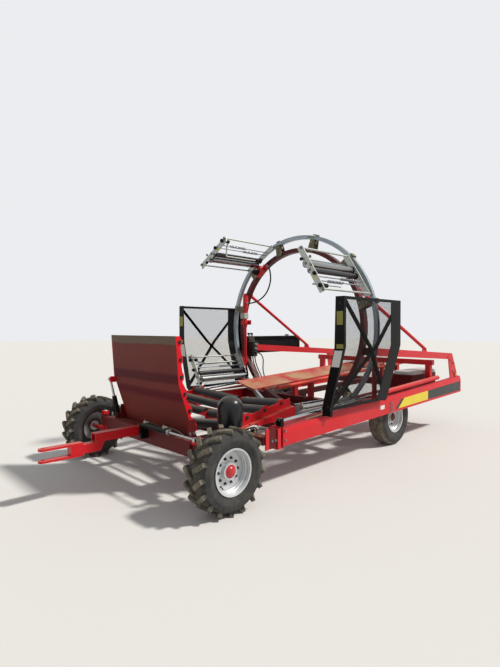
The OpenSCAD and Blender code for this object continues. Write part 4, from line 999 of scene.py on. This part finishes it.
# A black clamp of four plates holds the front end of each push rod on its beam
(x0, y0, z0), (x1, y1, z1) = (1.2197, 1.1397, 0.618), (1.2663, 1.2003, 0.702)
clamp_plates = [
    [(x1, y0, z0), (x1, y1, z0), (x1, y1, z1), (x1, y0, z1)],
    [(x0, y1, z0), (x0, y1, z1), (x1, y1, z1), (x1, y1, z0)],
    [(x0, y0, z1), (x1, y0, z1), (x1, y1, z1), (x0, y1, z1)],
    [(x0, y0, z0), (x1, y0, z0), (x1, y0, z1), (x0, y0, z1)],
]
for n, (side, s) in enumerate(SIDES):
    slabs(f"{side}_rod_clamp_plates", [both_sides(plate)[n] for plate in clamp_plates], 0.0025, black_paint)
    heads = [((x1 + 0.0026, s * y, z1 - 0.012), FORWARD) for y in (y0 + 0.012, y1 - 0.012)]
    bolts(f"{side}_rod_clamp_bolts", heads, 0.007, 0.006)
label = [(0.811, 1.176), (0.505, 1.176), (0.505, 1.148), (0.811, 1.148)]
on_top = both_sides([(x, y, beam_face(x, 1.0).z + 0.0006) for x, y in label])
slabs("beam_top_blank_labels", on_top, 0.001, yellow_vinyl)


# Oil tank
# A black steel tank lies outside the right rail under a louvred hood, with a filler cap.
dress(black_paint, "oil_tank")


def row_tree():
    """The carrier's mesh repeated in a row along X."""
    tree, given = open_tree("even_row", "Piece", {"Count": 10, "Pitch": 0.05}, "Row")
    step = add_node(tree, "ShaderNodeCombineXYZ", {"X": (given, "Pitch")})
    line = add_node(tree, "GeometryNodeMeshLine", {"Count": (given, "Count"), "Offset": (step, 0)}, mode="OFFSET")
    return close_tree(tree, given, copies(tree, (line, 0), (given, "Piece")))


rib = rounded("rib", (-1.905, -1.446, 1.4302), (-1.875, -1.217, 1.487), 0.006)
grow("tank_hood_ribs", row_tree(), rib, black_paint, count=24, pitch=0.0495)
block("tank_hood_top", (-1.925, -1.449, 1.486), (-0.745, -1.214, 1.497), black_paint, 0.004)
lathe(
    "tank_filler_cap", [(0, 30), (30, 30), (36, 26), (38, 0), (0, 0)],
    (-1.7, -1.33, 1.4972), (0, 0, 1), plating,
)


# Valve block
# A bare cast block behind the hoop's right leg carries four spools with black-knobbed levers and a row of
# plated couplings.
cast_iron = coated("oily_cast_iron", "#3a3b3b", "#2c2c2b", 0.42, metal=0.5, dust=0.3)
dress(cast_iron, "valve_block")
lever_knob = [(0, -4), (8, -3), (14, 8), (16, 18), (12, 28), (0, 32)]
spool_cap = [(0, 34), (10, 34), (13, 30), (13, 4), (15, 0), (0, 0)]
coupling = [(0, 40), (11, 40), (11, 28), (15, 26), (15, 10), (18, 8), (18, 0), (0, 0)]
for n in range(4):
    y, swing = -1.055 + 0.034 * n, 0.012 * (n % 2)
    lever = [(-0.475, y, 1.4202), (-0.47, y, 1.45), (-0.44 + swing, y, 1.535)]
    rod_piece(f"valve_lever_{n}", lever, 0.006, plating)
    lathe(f"valve_knob_{n}", lever_knob, (-0.441 + swing, y, 1.53), (0.3, 0, 1), black_paint, 20)
    lathe(f"valve_spool_cap_{n}", spool_cap, (-0.5226, y, 1.38), (-1, 0, 0), plating, 20)
for n, finish in enumerate((black_paint, plating, plating)):
    seat = (-0.482, -0.9298, 1.235 + 0.065 * n)
    lathe(f"valve_coupling_{n}", coupling, seat, (0, 1, 0), finish, 20)


# Cover over the left rear bay
# A pale moulded lid with rounded corners closes a red steel box, painted dark maroon as the shade below the lid.
lid_plastic = coated("pale_moulded_lid", "#c2c5c6", "#b0b1ac", 0.4, dust=0.25)
bm = bmesh.new()
plan = [
    (x, y, radians(start + 15 * k))
    for x, y, start in ((-2.105, 0.89, 0), (-2.825, 0.89, 90), (-2.825, 0.73, 180), (-2.105, 0.73, 270))
    for k in range(7)
]
tiers = [(0.088, 0.9002), (0.09, 0.906), (0.09, 0.934), (0.084, 0.946), (0.07, 0.954), (0.04, 0.959)]
rings = [[bm.verts.new((x + r * cos(a), y + r * sin(a), z)) for x, y, a in plan] for r, z in tiers]
for low, top in zip(rings, rings[1:]):
    bridge(bm, low, top)
bm.faces.new(rings[-1])
bm.faces.new(rings[0][::-1])
bay_lid = settle("bay_lid", made_mesh("bay_lid", bm, 50), lid_plastic, "root")
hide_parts("bay_cover")
# Shade-darkened red on the box: painted shade under the lid.
bay_box = block("bay_box", (-2.8945, 0.5605, 0.5565), (-2.0355, 0.96, 0.9), shaded_dusty_frame, 0.004)
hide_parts("bay_cover")
